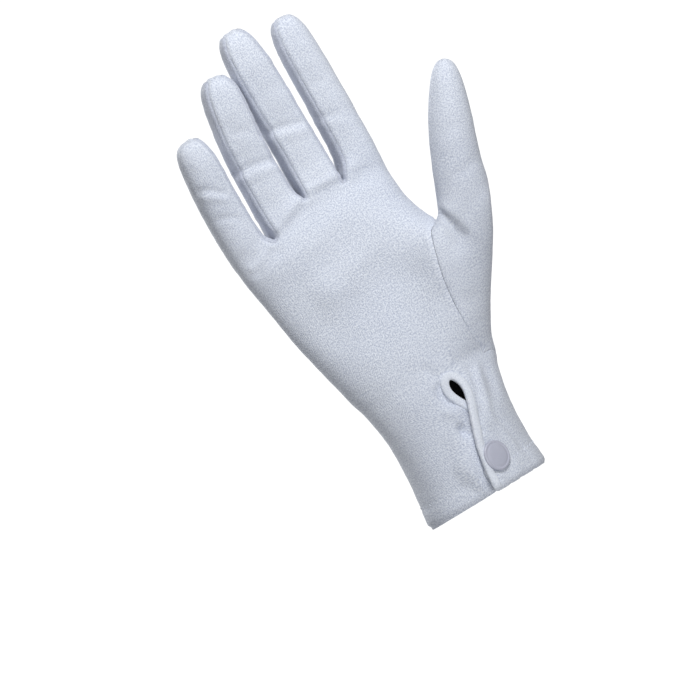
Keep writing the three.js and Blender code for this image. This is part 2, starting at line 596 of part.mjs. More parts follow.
// A wall of cloth from the faces that keep says: out and back are its depths from the net.
// Its edges draw back from a neighbouring piece by half the seam's gap, and all of them by inset.
function wall(net, normals, keep, out, back, inset = 0) {
  const faces = net.faces.filter(keep);
  const owners = new Map();
  for (const face of net.faces) {
    face.corners.forEach((a, i) => owners.set(`${a}>${face.corners[(i + 1) % 4]}`, face));
  }
  const kept = new Set(faces);
  const rims = [];
  const inward = new Map();
  for (const face of faces) {
    face.corners.forEach((a, i) => {
      const b = face.corners[(i + 1) % 4];
      const beyond = owners.get(`${b}>${a}`);
      if (beyond && kept.has(beyond)) return;
      rims.push([a, b]);
      const draw = inset + (beyond ? SEAM_GAP / 2 : 0);
      if (draw === 0) return;
      const along = net.points[b].clone().sub(net.points[a]).normalize();
      for (const end of [a, b]) {
        const step = normals[end].clone().cross(along).normalize();
        if (!inward.has(end)) inward.set(end, { steps: [], draw });
        inward.get(end).steps.push(step);
      }
    });
  }
  const geometry = { positions: [], triangles: [] };
  const outer = new Map();
  const inner = new Map();
  const place = (number) => {
    if (outer.has(number)) return;
    const spot = net.points[number].clone();
    if (inward.has(number)) {
      const { steps, draw } = inward.get(number);
      const mitre = average(steps).normalize();
      spot.addScaledVector(mitre, draw / Math.max(0.22, mitre.dot(steps[0])));
    }
    for (const [side, depth] of [[outer, out], [inner, -back]]) {
      side.set(number, geometry.positions.length);
      geometry.positions.push(spot.clone().addScaledVector(normals[number], depth));
    }
  };
  for (const face of faces) {
    face.corners.forEach(place);
    const [a, b, c, d] = face.corners;
    const first = net.points[a].distanceTo(net.points[c]) < net.points[b].distanceTo(net.points[d]);
    const halves = first ? [[a, b, c], [a, c, d]] : [[a, b, d], [b, c, d]];
    for (const half of halves) {
      geometry.triangles.push(half.map((corner) => outer.get(corner)));
      geometry.triangles.push(half.toReversed().map((corner) => inner.get(corner)));
    }
  }
  for (const [a, b] of rims) {
    const corners = [outer.get(b), outer.get(a), inner.get(a), inner.get(b)];
    // both sides of a seam split their rims on the same diagonal
    const [p, q, r, s] = a < b ? corners : [corners[3], ...corners.slice(0, 3)];
    geometry.triangles.push([p, q, r], [p, r, s]);
  }
  return geometry;
}

function toManifold({ positions, triangles }) {
  const vertProperties = new Float32Array(positions.flatMap((place) => place.toArray()));
  const triVerts = new Uint32Array(triangles.flat());
  return new wasm.Manifold(new wasm.Mesh({ numProp: 3, vertProperties, triVerts }));
}

function toGeometry(solid) {
  const { vertProperties, triVerts, numProp } = solid.getMesh();
  const positions = [];
  for (let i = 0; i < vertProperties.length; i += numProp) {
    positions.push(...vertProperties.slice(i, i + 3));
  }
  const geometry = new THREE.BufferGeometry();
  geometry.setAttribute('position', new THREE.Float32BufferAttribute(positions, 3));
  geometry.setIndex([...triVerts]);
  return geometry;
}

function geometryToManifold(geometry) {
  const bare = geometry.clone();
  bare.deleteAttribute('normal');
  bare.deleteAttribute('uv');
  const merged = mergeVertices(bare, 1e-4);
  return new wasm.Manifold(new wasm.Mesh({
    numProp: 3,
    vertProperties: merged.attributes.position.array,
    triVerts: new Uint32Array(merged.index.array),
  }));
}

// The cloth's face on the back over a spot of the glove's plane
function backFace(net, x, z) {
  const ray = new THREE.Ray(new THREE.Vector3(x, HAND_WIDTH, z), new THREE.Vector3(0, -1, 0));
  for (const face of net.faces) {
    const [a, b, c, d] = face.corners.map((corner) => net.points[corner]);
    for (const half of [[a, b, c], [a, c, d]]) {
      const hit = ray.intersectTriangle(...half, true, new THREE.Vector3());
      if (hit) return hit;
    }
  }
  return null;
}

// A raised point: a narrow ridge of folded cloth that follows the back and tapers at both ends
const POINT_PITCH = 7; // along a ridge, from one of its sections to the next
const POINT_SINK = 0.45; // how deep the ridge roots in the cloth, as a share of CLOTH
const POINT_PROFILE = [[-0.5, 0], [-0.3, 0.75], [0, 1], [0.3, 0.75], [0.5, 0], [0, -1]];
const POINT_END = 0.7; // relief at the ends, as a share of the middle's

// How much of its relief a ridge has at a share of its length
function pointTaper(share) {
  return mix(POINT_END, 1, Math.sin(Math.PI * share));
}

function raisedPoint(net, line) {
  const scaled = [line.from, line.bend, line.to].map(([across, up]) => (
    new THREE.Vector3(across * HAND_WIDTH, 0, up * KNUCKLE_HEIGHT)));
  const path = new THREE.QuadraticBezierCurve3(...scaled);
  const steps = Math.round(path.getLength() / POINT_PITCH);
  const positions = [];
  const triangles = [];
  for (let step = 0; step <= steps; step += 1) {
    const share = step / steps;
    const flat = path.getPoint(share);
    const seat = backFace(net, flat.x, flat.z);
    const along = path.getTangent(share);
    const across = new THREE.Vector3(along.z, 0, -along.x).normalize();
    const relief = POINT_RELIEF * pointTaper(share);
    for (const [side, height] of POINT_PROFILE) {
      const place = seat.clone().addScaledVector(across, side * POINT_WIDTH);
      const under = backFace(net, place.x, place.z);
      const root = under.y - POINT_SINK * CLOTH;
      place.y = height < 0 ? root : mix(root, under.y + relief, height);
      positions.push(place);
    }
  }
  const size = POINT_PROFILE.length;
  for (let step = 0; step < steps; step += 1) {
    for (let i = 0; i < size; i += 1) {
      const j = (i + 1) % size;
      const [a, b] = [step * size + i, step * size + j];
      triangles.push([a, b + size, b], [a, a + size, b + size]);
    }
  }
  for (let i = 1; i + 1 < size; i += 1) {
    triangles.push([0, i, i + 1]);
    const end = steps * size;
    triangles.push([end, end + i + 1, end + i]);
  }
  return { positions, triangles };
}

// Something turned on the press stud's axis. outline: radius and height over the flap's face.
function turned(outline) {
  const spots = outline.map(([radius, height]) => new THREE.Vector2(radius, height));
  const lathe = new THREE.LatheGeometry(spots, TURNED_SIDES);
  const upright = new THREE.Quaternion().setFromUnitVectors(new THREE.Vector3(0, 1, 0), SEAT.facing);
  lathe.applyQuaternion(upright);
  lathe.translate(...SEAT.centre.toArray());
  return lathe;
}

function punch(radius, low, high) {
  return geometryToManifold(turned([[0, low], [radius, low], [radius, high], [0, high]]));
}

// Heights on the press stud's axis, over the flap's face
const CAP_SEAT = CLEARANCE;
const CAP_TOP = CAP_SEAT + SNAP_THICKNESS;
const SOCKET_TOP = -BINDING_THICKNESS - CLEARANCE;
const SOCKET_FLOOR = SOCKET_TOP - SOCKET_THICKNESS;
const UNDERLAP_BACK = -SNAP_STACK - CLOTH;
const STUD_TOP = UNDERLAP_BACK - CLEARANCE;
const KNOB_TOP = SOCKET_TOP - CLEARANCE * 2;
const RECESS_ROOF = KNOB_TOP + CLEARANCE;

function snapCap() {
  const radius = SNAP_DIAMETER / 2;
  const neck = SNAP_NECK_DIAMETER / 2;
  const socket = SOCKET_DIAMETER / 2;
  const recess = KNOB_DIAMETER / 2 + CLEARANCE;
  return turned([
    [0, RECESS_ROOF], [recess, RECESS_ROOF], [recess, SOCKET_FLOOR], [socket, SOCKET_FLOOR],
    [socket, SOCKET_TOP], [neck, SOCKET_TOP], [neck, CAP_SEAT], [radius * 0.96, CAP_SEAT],
    [radius, mix(CAP_SEAT, CAP_TOP, 0.35)], [radius * 0.93, mix(CAP_SEAT, CAP_TOP, 0.72)],
    [radius * 0.6, mix(CAP_SEAT, CAP_TOP, 0.93)], [0, CAP_TOP],
  ]);
}

function snapStud() {
  const radius = STUD_DIAMETER / 2;
  const neck = STUD_NECK_DIAMETER / 2;
  const knob = KNOB_DIAMETER / 2;
  const knobSeat = -SNAP_STACK + CLEARANCE / 2;
  return turned([
    [0, STUD_TOP - STUD_THICKNESS], [radius, STUD_TOP - STUD_THICKNESS], [radius, STUD_TOP],
    [neck, STUD_TOP], [neck, knobSeat], [knob, knobSeat], [knob, KNOB_TOP], [0, KNOB_TOP],
  ]);
}

function clothMesh(name, geometry, finish) {
  const mesh = new THREE.Mesh(geometry, new THREE.MeshStandardMaterial(finish));
  mesh.name = name;
  return mesh;
}

const net = smooth(buildNet());
foldPalm(net);
seatSnap(net);
const normals = pointNormals(net);

function handSolid() {
  const plain = toManifold(wall(net, normals, (face) => face.piece === 'hand', 0, CLOTH));
  const inHem = (face) => face.piece === 'hand'
    && face.corners.every((corner) => net.points[corner].z < HEM_HEIGHT + SEAM_GAP);
  const hem = toManifold(wall(net, normals, inHem, -CLOTH * 0.9, CLOTH * 2, HEM_INSET));
  let solid = plain.add(hem);
  for (const line of RAISED_POINTS) solid = solid.add(toManifold(raisedPoint(net, line)));
  const flapHole = punch(SNAP_NECK_DIAMETER / 2 + CLEARANCE, -CLOTH * 1.3, CLOTH);
  const studHole = STUD_NECK_DIAMETER / 2 + CLEARANCE;
  const underlapHole = punch(studHole, UNDERLAP_BACK - CLOTH, -SNAP_STACK + CLOTH / 2);
  return solid.subtract(flapHole).subtract(underlapHole);
}

const glove = new THREE.Group();
glove.add(clothMesh('hand', toGeometry(handSolid()), COTTON));
for (const name of ['thumb', ...FOURCHETTES]) {
  const cloth = wall(net, normals, (face) => face.piece === name, 0, CLOTH);
  glove.add(clothMesh(name, toGeometry(toManifold(cloth)), COTTON));
}
const binding = wall(net, normals, (face) => face.piece === 'vent_binding', 0, BINDING_THICKNESS);
glove.add(clothMesh('vent_binding', toGeometry(toManifold(binding)), BINDING));
glove.add(clothMesh('snap_cap', snapCap(), SNAP));
glove.add(clothMesh('snap_stud', snapStud(), SNAP));

export default glove;
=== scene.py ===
"""White dress glove for the right hand, filled out as if worn.

The cloth is one net of faces, drawn out ring by ring from the cuff to the fingertips. It is smoothed,
pressed into folds, cut along its seams and given a wall. The raised points, the stitches, the vent's
binding and the press stud are made on it. Sizes are in millimetres until a piece is finished in metres.
"""
import logging
import math
from collections.abc import Callable
from dataclasses import dataclass, field
from enum import Enum, IntEnum

import bmesh
import bpy
import numpy as np
from mathutils import Matrix, Vector, noise
from mathutils.bvhtree import BVHTree
from mathutils.kdtree import KDTree


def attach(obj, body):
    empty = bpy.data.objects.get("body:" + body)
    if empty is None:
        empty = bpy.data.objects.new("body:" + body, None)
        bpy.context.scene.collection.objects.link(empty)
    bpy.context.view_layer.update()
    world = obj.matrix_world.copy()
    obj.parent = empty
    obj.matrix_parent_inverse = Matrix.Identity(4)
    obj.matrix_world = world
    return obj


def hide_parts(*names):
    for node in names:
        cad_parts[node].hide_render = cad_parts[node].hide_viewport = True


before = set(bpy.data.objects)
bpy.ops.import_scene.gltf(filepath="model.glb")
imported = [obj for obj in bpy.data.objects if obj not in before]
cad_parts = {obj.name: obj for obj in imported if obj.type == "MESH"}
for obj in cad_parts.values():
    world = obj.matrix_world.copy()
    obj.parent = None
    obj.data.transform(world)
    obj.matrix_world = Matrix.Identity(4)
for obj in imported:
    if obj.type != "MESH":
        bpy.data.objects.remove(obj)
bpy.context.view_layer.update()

LOG = logging.getLogger("glove")
METRES = 0.001  # one millimetre in metres
Colour = tuple[float, float, float, float]
Point = tuple[float, float]


class Cloth(IntEnum):
    """The pieces that the cloth is cut into."""

    HAND = 1
    THUMB = 2
    INDEX_MIDDLE = 3
    MIDDLE_RING = 4
    RING_LITTLE = 5
    BINDING = 6


class Layer(IntEnum):
    """Which of the two layers at the vent a face belongs to."""

    NONE = 0
    FLAP = 1
    UNDERLAP = 2


class Plane(Enum):
    """The plane that a fold's path is given in."""

    PICTURE = "picture"
    BACK = "back"


FOURCHETTES = (Cloth.INDEX_MIDDLE, Cloth.MIDDLE_RING, Cloth.RING_LITTLE)
NODES = {
    Cloth.HAND: "hand",
    Cloth.THUMB: "thumb",
    Cloth.INDEX_MIDDLE: "fourchette_index_middle",
    Cloth.MIDDLE_RING: "fourchette_middle_ring",
    Cloth.RING_LITTLE: "fourchette_ring_little",
}


def blend(low: float, high: float, share: float) -> float:
    """Value between two others at a share of the way."""
    return low + (high - low) * share


def smooth_step(value: np.ndarray, low: float, high: float) -> np.ndarray:
    """Rises softly from 0 at low to 1 at high."""
    share = np.clip((value - low) / (high - low), 0.0, 1.0)
    return share * share * (3.0 - 2.0 * share)


def smooth_path(points: tuple[Point, ...], steps: int = 6) -> np.ndarray:
    """Rounds a path of two or more points with a Catmull-Rom curve.

    Args:
        points: the path's points in its plane.
        steps: how many pieces each stretch becomes.

    Returns:
        An array of points along the curve.
    """
    ends = [points[0], *points, points[-1]]
    spots = [np.array(point, dtype=float) for point in ends]
    curve = [spots[1]]
    for a, b, c, d in zip(spots, spots[1:], spots[2:], spots[3:]):
        for step in range(1, steps + 1):
            t = step / steps
            curve.append(0.5 * (2 * b + (c - a) * t + (2 * a - 5 * b + 4 * c - d) * t ** 2
                                + (3 * b - a - 3 * c + d) * t ** 3))
    return np.array(curve)


# The photograph's view


@dataclass(frozen=True)
class PictureView:
    """The photograph's camera: where it stands, how it is rolled and what it is aimed at."""

    azimuth: float = -12.0
    roll: float = 30.42
    target: tuple[float, float, float] = (-19.9, 4.2, 91.7)
    distance: float = 1100.0
    lens: float = 123.9
    sensor: float = 36.0
    shift: float = 8.0  # how far the picture's plane has its zero to the thumb's side

    @property
    def right(self) -> Vector:
        """Level direction to the picture's right."""
        turn = math.radians(self.azimuth)
        return Vector((math.cos(turn), math.sin(turn), 0.0))

    @property
    def forward(self) -> Vector:
        """Level direction into the picture."""
        turn = math.radians(self.azimuth)
        return Vector((-math.sin(turn), math.cos(turn), 0.0))

    def flatten(self, places: np.ndarray) -> np.ndarray:
        """Places as points of the picture's plane: across, and up along the glove."""
        across = places @ np.array(self.right) - self.shift
        return np.stack([across, places[:, 2]], axis=1)

    def ray(self, point: Point) -> tuple[Vector, Vector]:
        """Start and direction of the line of sight through a point of the picture's plane."""
        start = self.right * (point[0] + self.shift) + Vector((0.0, 0.0, point[1])) - self.forward * 200.0
        return start, self.forward

    def matrix(self) -> Matrix:
        """Place and turn of the camera, in metres.

        Returns:
            The camera's matrix.
        """
        roll = math.radians(self.roll)
        up = Vector((0.0, 0.0, 1.0))
        side = self.right * math.cos(roll) - up * math.sin(roll)
        top = self.right * math.sin(roll) + up * math.cos(roll)
        turn = Matrix((side, top, -self.forward)).transposed().to_4x4()
        place = (Vector(self.target) - self.forward * self.distance) * METRES
        return Matrix.Translation(place) @ turn


VIEW = PictureView()


# The net


@dataclass(frozen=True)
class Girth:
    """Width and depth that cross-sections are shares of."""

    width: float
    depth: float


@dataclass(frozen=True)
class Section:
    """A cross-section of the wrist or palm.

    stretch and up say where it lies. left, right, palm and back say how far it reaches, as shares of its
    girth's width and depth. square is 2 for an ellipse and more for a boxier form. lean swings the thumb half
    to the palm and turn turns all of it, in degrees. f4 to k2 and under place the columns, as shares of the
    half width. lift and sink raise the flap and lower the underlap, and bound scales the binding's width.
    """

    stretch: str
    up: float
    girth: str
    left: float
    right: float
    palm: float
    back: float
    square: float
    lean: float
    turn: float
    f4: float
    f3: float
    f2: float
    f1: float | None
    k2: float
    under: float | None = None
    lift: float = 0.0
    sink: float = 0.0
    bound: float = 1.0


# stretch, up, girth, left, right, palm, back, square, lean, turn,
# and then f4, f3, f2, f1, k2, under, lift, sink, bound
SECTIONS = (
    Section("hem", 0, "cuff", -0.5, 0.5, 0.5, 0.5, 2, 0, 16,
            -0.295, -0.175, 0.24, 0.6, 0.72, 0.4, 1, 0),
    Section("hem", 1, "cuff", -0.477, 0.485, 0.489, 0.489, 2, 0, 16,
            -0.285, -0.165, 0.24, 0.6, 0.74, 0.38, 1, 0),
    Section("vent", 0.33, "wrist", -0.476, 0.508, 0.524, 0.512, 2, 0, 14,
            -0.18, -0.06, 0.31, 0.65, 0.78, 0.3, 1, 0),
    Section("vent", 0.62, "wrist", -0.468, 0.532, 0.524, 0.5, 2, 0, 10,
            0.03, 0.17, 0.47, 0.74, 0.84, 0.2, 0.75, 0.1),
    Section("vent", 0.84, "wrist", -0.476, 0.573, 0.524, 0.488, 2, 0, 7,
            0.17, 0.31, 0.7, 0.86, 0.9, -0.05, 0.3, 0.25),
    Section("rim", 0, "hand", -0.356, 0.442, 0.768, 0.714, 2, 0, 4,
            0.06, 0.2, 0.86, 0.95, 0.95, bound=1.1),
    Section("rim", 1, "hand", -0.366, 0.456, 0.76, 0.705, 2, 2, 3,
            0.06, 0.125, 0.76, 0.9, 0.965, bound=0.55),
    Section("ball", 0.13, "hand", -0.394, 0.498, 0.757, 0.679, 2.05, 6, 1,
            0.11, 0.26, 0.6, 0.82, 0.93),
    Section("ball", 0.36, "hand", -0.434, 0.575, 0.732, 0.632, 2.1, 13.5, 0,
            0.14, 0.29, 0.44, 0.74, 0.83),
    Section("ball", 0.62, "hand", -0.477, 0.672, 0.668, 0.571, 2.15, 22, 0,
            0.11, 0.225, 0.34, 0.68, 0.71),
    Section("ball", 0.9, "hand", -0.509, 0.747, 0.589, 0.518, 2.2, 29, 0,
            0.08, 0.22, 0.37, 0.72, 0.56),
    Section("palm", 0.42, "hand", -0.53, 0.463, 0.545, 0.493, 2.5, 4, 0,
            0.35, 0.59, 0.82, None, 0.82),
    Section("palm", 1, "hand", -0.552, 0.448, 0.5, 0.446, 2.7, 0, 0,
            0.411, 0.66, 0.86, None, 0.86),
)
RIM_SECTION = 5  # the first section above the vent
CROTCH_SECTION = 10  # the last section that the thumb shares with the palm
LEAN_START = 0.115  # where the thumb half starts to swing, as a share of the hand's width
PALM_SPREAD = (0.176, 0.39, 0.584, 0.785, 0.935)  # columns f6 to f10, from f5 to the far side
BACK_SPREAD = (0.1075, 0.241, 0.36, 0.475, 0.605, 0.735, 0.862, 0.958)  # columns k3 to k10, from k2
CLOSED_F5 = 0.157  # column f5 where no slit parts it from f4, on the way to the far side
FLAP_LIFTS = {"f4": 1.55, "f3": 1.45, "f2": 1.0, "f1": 1.0, "f0": 0.5}  # shares of the overlap's lift
# Height of the palm's last ring at each column, as a share of the knuckles' height
KNUCKLE_LINE = {
    "w": 0.94, "c2": 0.948, "c3": 0.975, "c4": 0.983, "c5": 1.002, "c6": 0.996, "c7": 0.97,
    "c8": 0.938, "c9": 0.912, "c10": 0.868, "p": 0.862,
}
LAST_ROW = 0.05  # least height of the faces under that line, as a share of the knuckles' height
# How far the thumb's oval root dips at each column
ROOT_DIP = {"f2": -1.5, "f1": 1.5, "f0": 3.8, "s": 5.0, "k0": 3.8, "k1": 1.5, "k2": -1.5}

# Columns of the net: f on the palm, k on the back, s and p at the two sides, w at the thumb's web
PALM_COLUMNS = ("f4", "f3", "f2", "f1", "f0")
BACK_COLUMNS = tuple(f"k{column}" for column in range(11))
FAR_COLUMNS = ("f10", "f9", "f8", "f7", "f6", "f5")
MAIN_ORDER = (*PALM_COLUMNS, "s", *BACK_COLUMNS, "p", *FAR_COLUMNS, "under")
THUMB_ORDER = ("f2", "f1", "f0", "s", "k0", "k1", "k2")
KNUCKLE_ORDER = (
    "w", *(f"k{column}" for column in range(2, 11)), "p", *(f"f{column}" for column in range(10, 1, -1)), "w",
)


@dataclass(frozen=True)
class StallSection:
    """A section of a finger: along is a share of the length, wide and deep are shares of the width."""

    along: float
    wide: float
    deep: float


@dataclass(frozen=True)
class Stall:
    """A finger or the thumb. It leans to the thumb's side and curls to the palm by thirds, in degrees."""

    length: float
    width: float
    start: tuple[float, float | None]
    lean: tuple[float, float, float]
    curl: tuple[float, float, float]
    sections: tuple[StallSection, ...]
    square: float
    fine_below: float = 0.9  # share of the length up to which the net has twice the rows


FINGER_SECTIONS = (
    StallSection(0.17, 1.03, 1.02), StallSection(0.4, 1.0, 0.97), StallSection(0.63, 0.98, 0.9),
    StallSection(0.83, 0.94, 0.82), StallSection(0.955, 0.77, 0.6), StallSection(1.0, 0.36, 0.28),
)
THUMB_SECTIONS = (
    StallSection(0.2, 1.1, 1.04), StallSection(0.42, 0.98, 0.95), StallSection(0.65, 0.88, 0.85),
    StallSection(0.88, 0.68, 0.64), StallSection(1.0, 0.3, 0.28),
)
FINGERS = (
    Stall(85, 19.4, (0.322, None), (-1, -1, -4), (5, 12, 18), FINGER_SECTIONS, 2.5),
    Stall(86, 21, (0.063, None), (-3, -2, -5), (5, 13, 20), FINGER_SECTIONS, 2.5),
    Stall(76, 20.6, (-0.188, None), (-5, -2, 3), (6, 15, 22), FINGER_SECTIONS, 2.5),
    Stall(67, 19, (-0.432, None), (-10, -2, -1), (6, 15, 22), FINGER_SECTIONS, 2.5),
)
THUMB = Stall(72, 23, (0.625, -0.79), (7, 15, 21), (17, 17, 16), THUMB_SECTIONS, 2.0, 0.5)
ROUND_FILL = 1.075  # smoothing draws an eight-sided ring in by this much
STALL_STEPS = 24  # straight steps that a finger's curled middle line is worked out in
PATH_STEPS = 24  # steps that each stretch of a stitched path is worked out in


@dataclass
class Ring:
    """A ring of the net: its corners in order, the first again at the end where it is closed.

    along says how far up the knit each corner is.
    """

    verts: list[bmesh.types.BMVert]
    along: list[float]


def knit_spans(places: list[Vector], anchors: list[int]) -> list[Point]:
    """How far round the knit each gap of a ring starts and ends.

    Args:
        places: the ring's corners in order.
        anchors: for each gap, the corner that its knit is measured from.

    Returns:
        One pair of distances for each gap.
    """
    travel = [0.0]
    for low, high in zip(places, places[1:]):
        travel.append(travel[-1] + (high - low).length)
    return [(travel[i] - travel[anchor], travel[i + 1] - travel[anchor]) for i, anchor in enumerate(anchors)]


@dataclass
class GloveNet:
    """The net of faces that the cloth is smoothed from, drawn out ring by ring."""

    knuckle_height: float = 160.0
    thumb_crotch_height: float = 123.0
    hand: Girth = Girth(87.0, 28.0)
    wrist: Girth = Girth(62.0, 42.0)
    cuff: Girth = Girth(66.0, 46.0)
    hem_height: float = 13.0
    vent_length: float = 60.0
    binding_width: float = 4.0
    overlap_lift: float = 3.4  # how far the flap stands over its section
    cuff_rise_palm: float = 0.22  # slants of the cuff's edge, as shares of the hem's height
    cuff_rise_far: float = 0.12
    thumb_web_reach: float = 0.506  # share of the hand's width
    web_rise: float = 0.006  # share of the knuckles' height
    seam_crease: float = 0.42  # how sharp the fourchettes' seams stay when the net is smoothed
    bm: bmesh.types.BMesh = field(default_factory=bmesh.new)

    def __post_init__(self) -> None:
        """Adds the layers that name each face's cloth and lay out its knit."""
        self.cloth = self.bm.faces.layers.int.new("cloth")
        self.layer = self.bm.faces.layers.int.new("layer")
        self.knit = self.bm.loops.layers.uv.new("knit")

    def section_height(self, section: Section) -> float:
        """Height of a section over the cuff's edge.

        Args:
            section: the cross-section.

        Returns:
            The height in millimetres.
        """
        rim = self.vent_length + self.binding_width
        low, high = {
            "hem": (0.0, self.hem_height),
            "vent": (self.hem_height, self.vent_length),
            "rim": (self.vent_length, rim),
            "ball": (rim, self.thumb_crotch_height),
            "palm": (self.thumb_crotch_height, self.knuckle_height),
        }[section.stretch]
        return blend(low, high, section.up)

    def girth(self, section: Section) -> Girth:
        """The girth that a section's lengths are shares of."""
        return {"hand": self.hand, "wrist": self.wrist, "cuff": self.cuff}[section.girth]

    def section_point(self, section: Section, share: float, side: int, lift: float = 0.0) -> Vector:
        """A point of a section.

        Args:
            section: the cross-section.
            share: 1 at the thumb's side, -1 at the other.
            side: -1 on the palm, 1 on the back.
            lift: how far the point stands out of the section.

        Returns:
            The point in millimetres.
        """
        girth = self.girth(section)
        left, right = section.left * girth.width, section.right * girth.width
        middle, half = (left + right) / 2, (right - left) / 2
        depth = (section.palm if side < 0 else section.back) * girth.depth
        bow = (1 - abs(share) ** section.square) ** (1 / section.square)
        normal = Vector((share / half, side * bow / depth)).normalized()
        x = middle + half * share + normal.x * lift
        swing = math.tan(math.radians(section.lean)) * max(0.0, x - LEAN_START * self.hand.width)
        y = side * depth * bow + normal.y * lift - swing
        flat = Matrix.Rotation(math.radians(section.turn), 2) @ Vector((x - middle, y))
        height = self.section_height(section)
        slant = self.cuff_rise_far * (1 - share) / 2 + self.cuff_rise_palm * (1 - side * bow) / 2
        rise = slant * max(0.0, self.hem_height - height)
        return Vector((flat.x + middle, flat.y, height + rise))

    def column_shares(self, section: Section) -> dict[str, float]:
        """Where each column stands in a section, as a share of the half width.

        Args:
            section: the cross-section.

        Returns:
            A share for each column, from 1 at the thumb's side to -1.
        """
        half = (section.right - section.left) / 2 * self.girth(section).width
        start = section.f4 if section.under is None else section.under
        shares = {"f4": section.f4, "f3": section.f3, "f2": section.f2, "k2": section.k2}
        shares["f1"] = blend(section.f2, 1.0, 0.5) if section.f1 is None else section.f1
        shares["f0"] = math.sin(blend(math.asin(shares["f1"]), math.pi / 2, 0.5))
        closed = section.under is None and section.stretch != "rim"
        bound = section.bound * self.binding_width / half
        shares["f5"] = blend(start, -1.0, CLOSED_F5) if closed else start - bound
        for i, far in enumerate(PALM_SPREAD):
            shares[f"f{i + 6}"] = blend(shares["f5"], -1.0, far)
        for i, far in enumerate(BACK_SPREAD):
            shares[f"k{i + 3}"] = blend(section.k2, -1.0, far)
        turn = math.asin(section.k2)
        shares["k1"] = math.sin(blend(turn, math.pi / 2, 1 / 3))
        shares["k0"] = math.sin(blend(turn, math.pi / 2, 2 / 3))
        return shares

    def main_places(self, section: Section) -> list[Vector]:
        """Corners of a ring of the main tube, in MAIN_ORDER.

        Args:
            section: the ring's cross-section.

        Returns:
            The corners in MAIN_ORDER.
        """
        shares = self.column_shares(section)
        places = {}
        for column in PALM_COLUMNS:
            lift = FLAP_LIFTS[column] * section.lift * self.overlap_lift
            places[column] = self.section_point(section, shares[column], -1, lift)
        places["s"] = self.section_point(section, 1.0, 1)
        places["p"] = self.section_point(section, -1.0, 1)
        for column in BACK_COLUMNS:
            places[column] = self.section_point(section, shares[column], 1)
        sink = -section.sink * self.overlap_lift
        for column in FAR_COLUMNS:
            places[column] = self.section_point(section, shares[column], -1, sink if column == "f5" else 0.0)
        open_vent = section.under is not None
        places["under"] = self.section_point(section, section.under, -1, sink) if open_vent else places["f4"]
        if section is SECTIONS[RIM_SECTION]:
            for column, dip in ROOT_DIP.items():
                places[column].z -= dip
        return [places[column] for column in MAIN_ORDER]

    def palm_places(self, section: Section, top: bool) -> list[Vector]:
        """Corners of a ring of the palm above the thumb.

        Args:
            section: the ring's cross-section.
            top: whether the ring follows the knuckle line, or stays below it.

        Returns:
            The corners in KNUCKLE_ORDER.
        """
        shares = {**self.column_shares(section), "w": 1.0, "p": -1.0}
        places = []
        for column in KNUCKLE_ORDER:
            place = self.section_point(section, shares[column], -1 if column.startswith("f") else 1)
            knuckle = KNUCKLE_LINE[column.replace("f", "c").replace("k", "c")]
            low = self.knuckle_height * (knuckle - LAST_ROW)
            place.z = self.knuckle_height * knuckle if top else min(place.z, low)
            places.append(place)
        return places

    def raise_ring(
        self, ring: Ring, places: list[Vector], along: list[float], anchors: list[int],
        tags: list[tuple[Cloth, Layer]], rows: int = 1,
    ) -> Ring:
        """Draws one or more rows of faces from a ring up to some places.

        Args:
            ring: the ring to start from.
            places: where the last row's corners go, in the ring's order.
            along: how far up the knit those corners are.
            anchors: for each gap, the corner that its knit is measured from.
            tags: cloth and layer of the faces over each gap.
            rows: how many rows to draw, with more where the cloth takes fine folds.

        Returns:
            The last row's ring.
        """
        starts = [vert.co.copy() for vert in ring.verts]
        low = ring.along
        for row in range(1, rows + 1):
            share = row / rows
            spots = [start.lerp(place, share) for start, place in zip(starts, places)]
            heights = [blend(a, b, share) for a, b in zip(low, along)]
            ring = self.raise_row(ring, spots, heights, anchors, tags)
        return ring

    def raise_row(
        self, ring: Ring, places: list[Vector], along: list[float], anchors: list[int],
        tags: list[tuple[Cloth, Layer]],
    ) -> Ring:
        """Extrudes a ring of edges once, moves its new corners to their places and tags its faces.

        Args:
            ring: the ring to start from.
            places: where the new corners go, in the ring's order.
            along: how far up the knit they are.
            anchors: for each gap, the corner that its knit is measured from.
            tags: cloth and layer of the face over each gap.

        Returns:
            The new ring.
        """
        edges = [self.bm.edges.get(pair) for pair in zip(ring.verts, ring.verts[1:])]
        grown = bmesh.ops.extrude_edge_only(self.bm, edges=edges)["geom"]
        fresh = {part for part in grown if isinstance(part, bmesh.types.BMVert)}
        tops = {}
        for vert, place in zip(ring.verts, places):
            ends = (edge.other_vert(vert) for edge in vert.link_edges)
            tops[vert] = next(end for end in ends if end in fresh)
            tops[vert].co = place
        high = Ring([tops[vert] for vert in ring.verts], along)
        low_spans = knit_spans([vert.co for vert in ring.verts], anchors)
        high_spans = knit_spans(places, anchors)
        for i, (cloth, layer) in enumerate(tags):
            a, b, c, d = ring.verts[i], ring.verts[i + 1], high.verts[i + 1], high.verts[i]
            face = self.bm.edges.get((c, d)).link_faces[0]
            face[self.cloth], face[self.layer] = cloth, layer
            spots = {
                a: (low_spans[i][0], ring.along[i]), b: (low_spans[i][1], ring.along[i + 1]),
                c: (high_spans[i][1], along[i + 1]), d: (high_spans[i][0], along[i]),
            }
            for loop in face.loops:
                loop[self.knit].uv = spots[loop.vert]
        return high

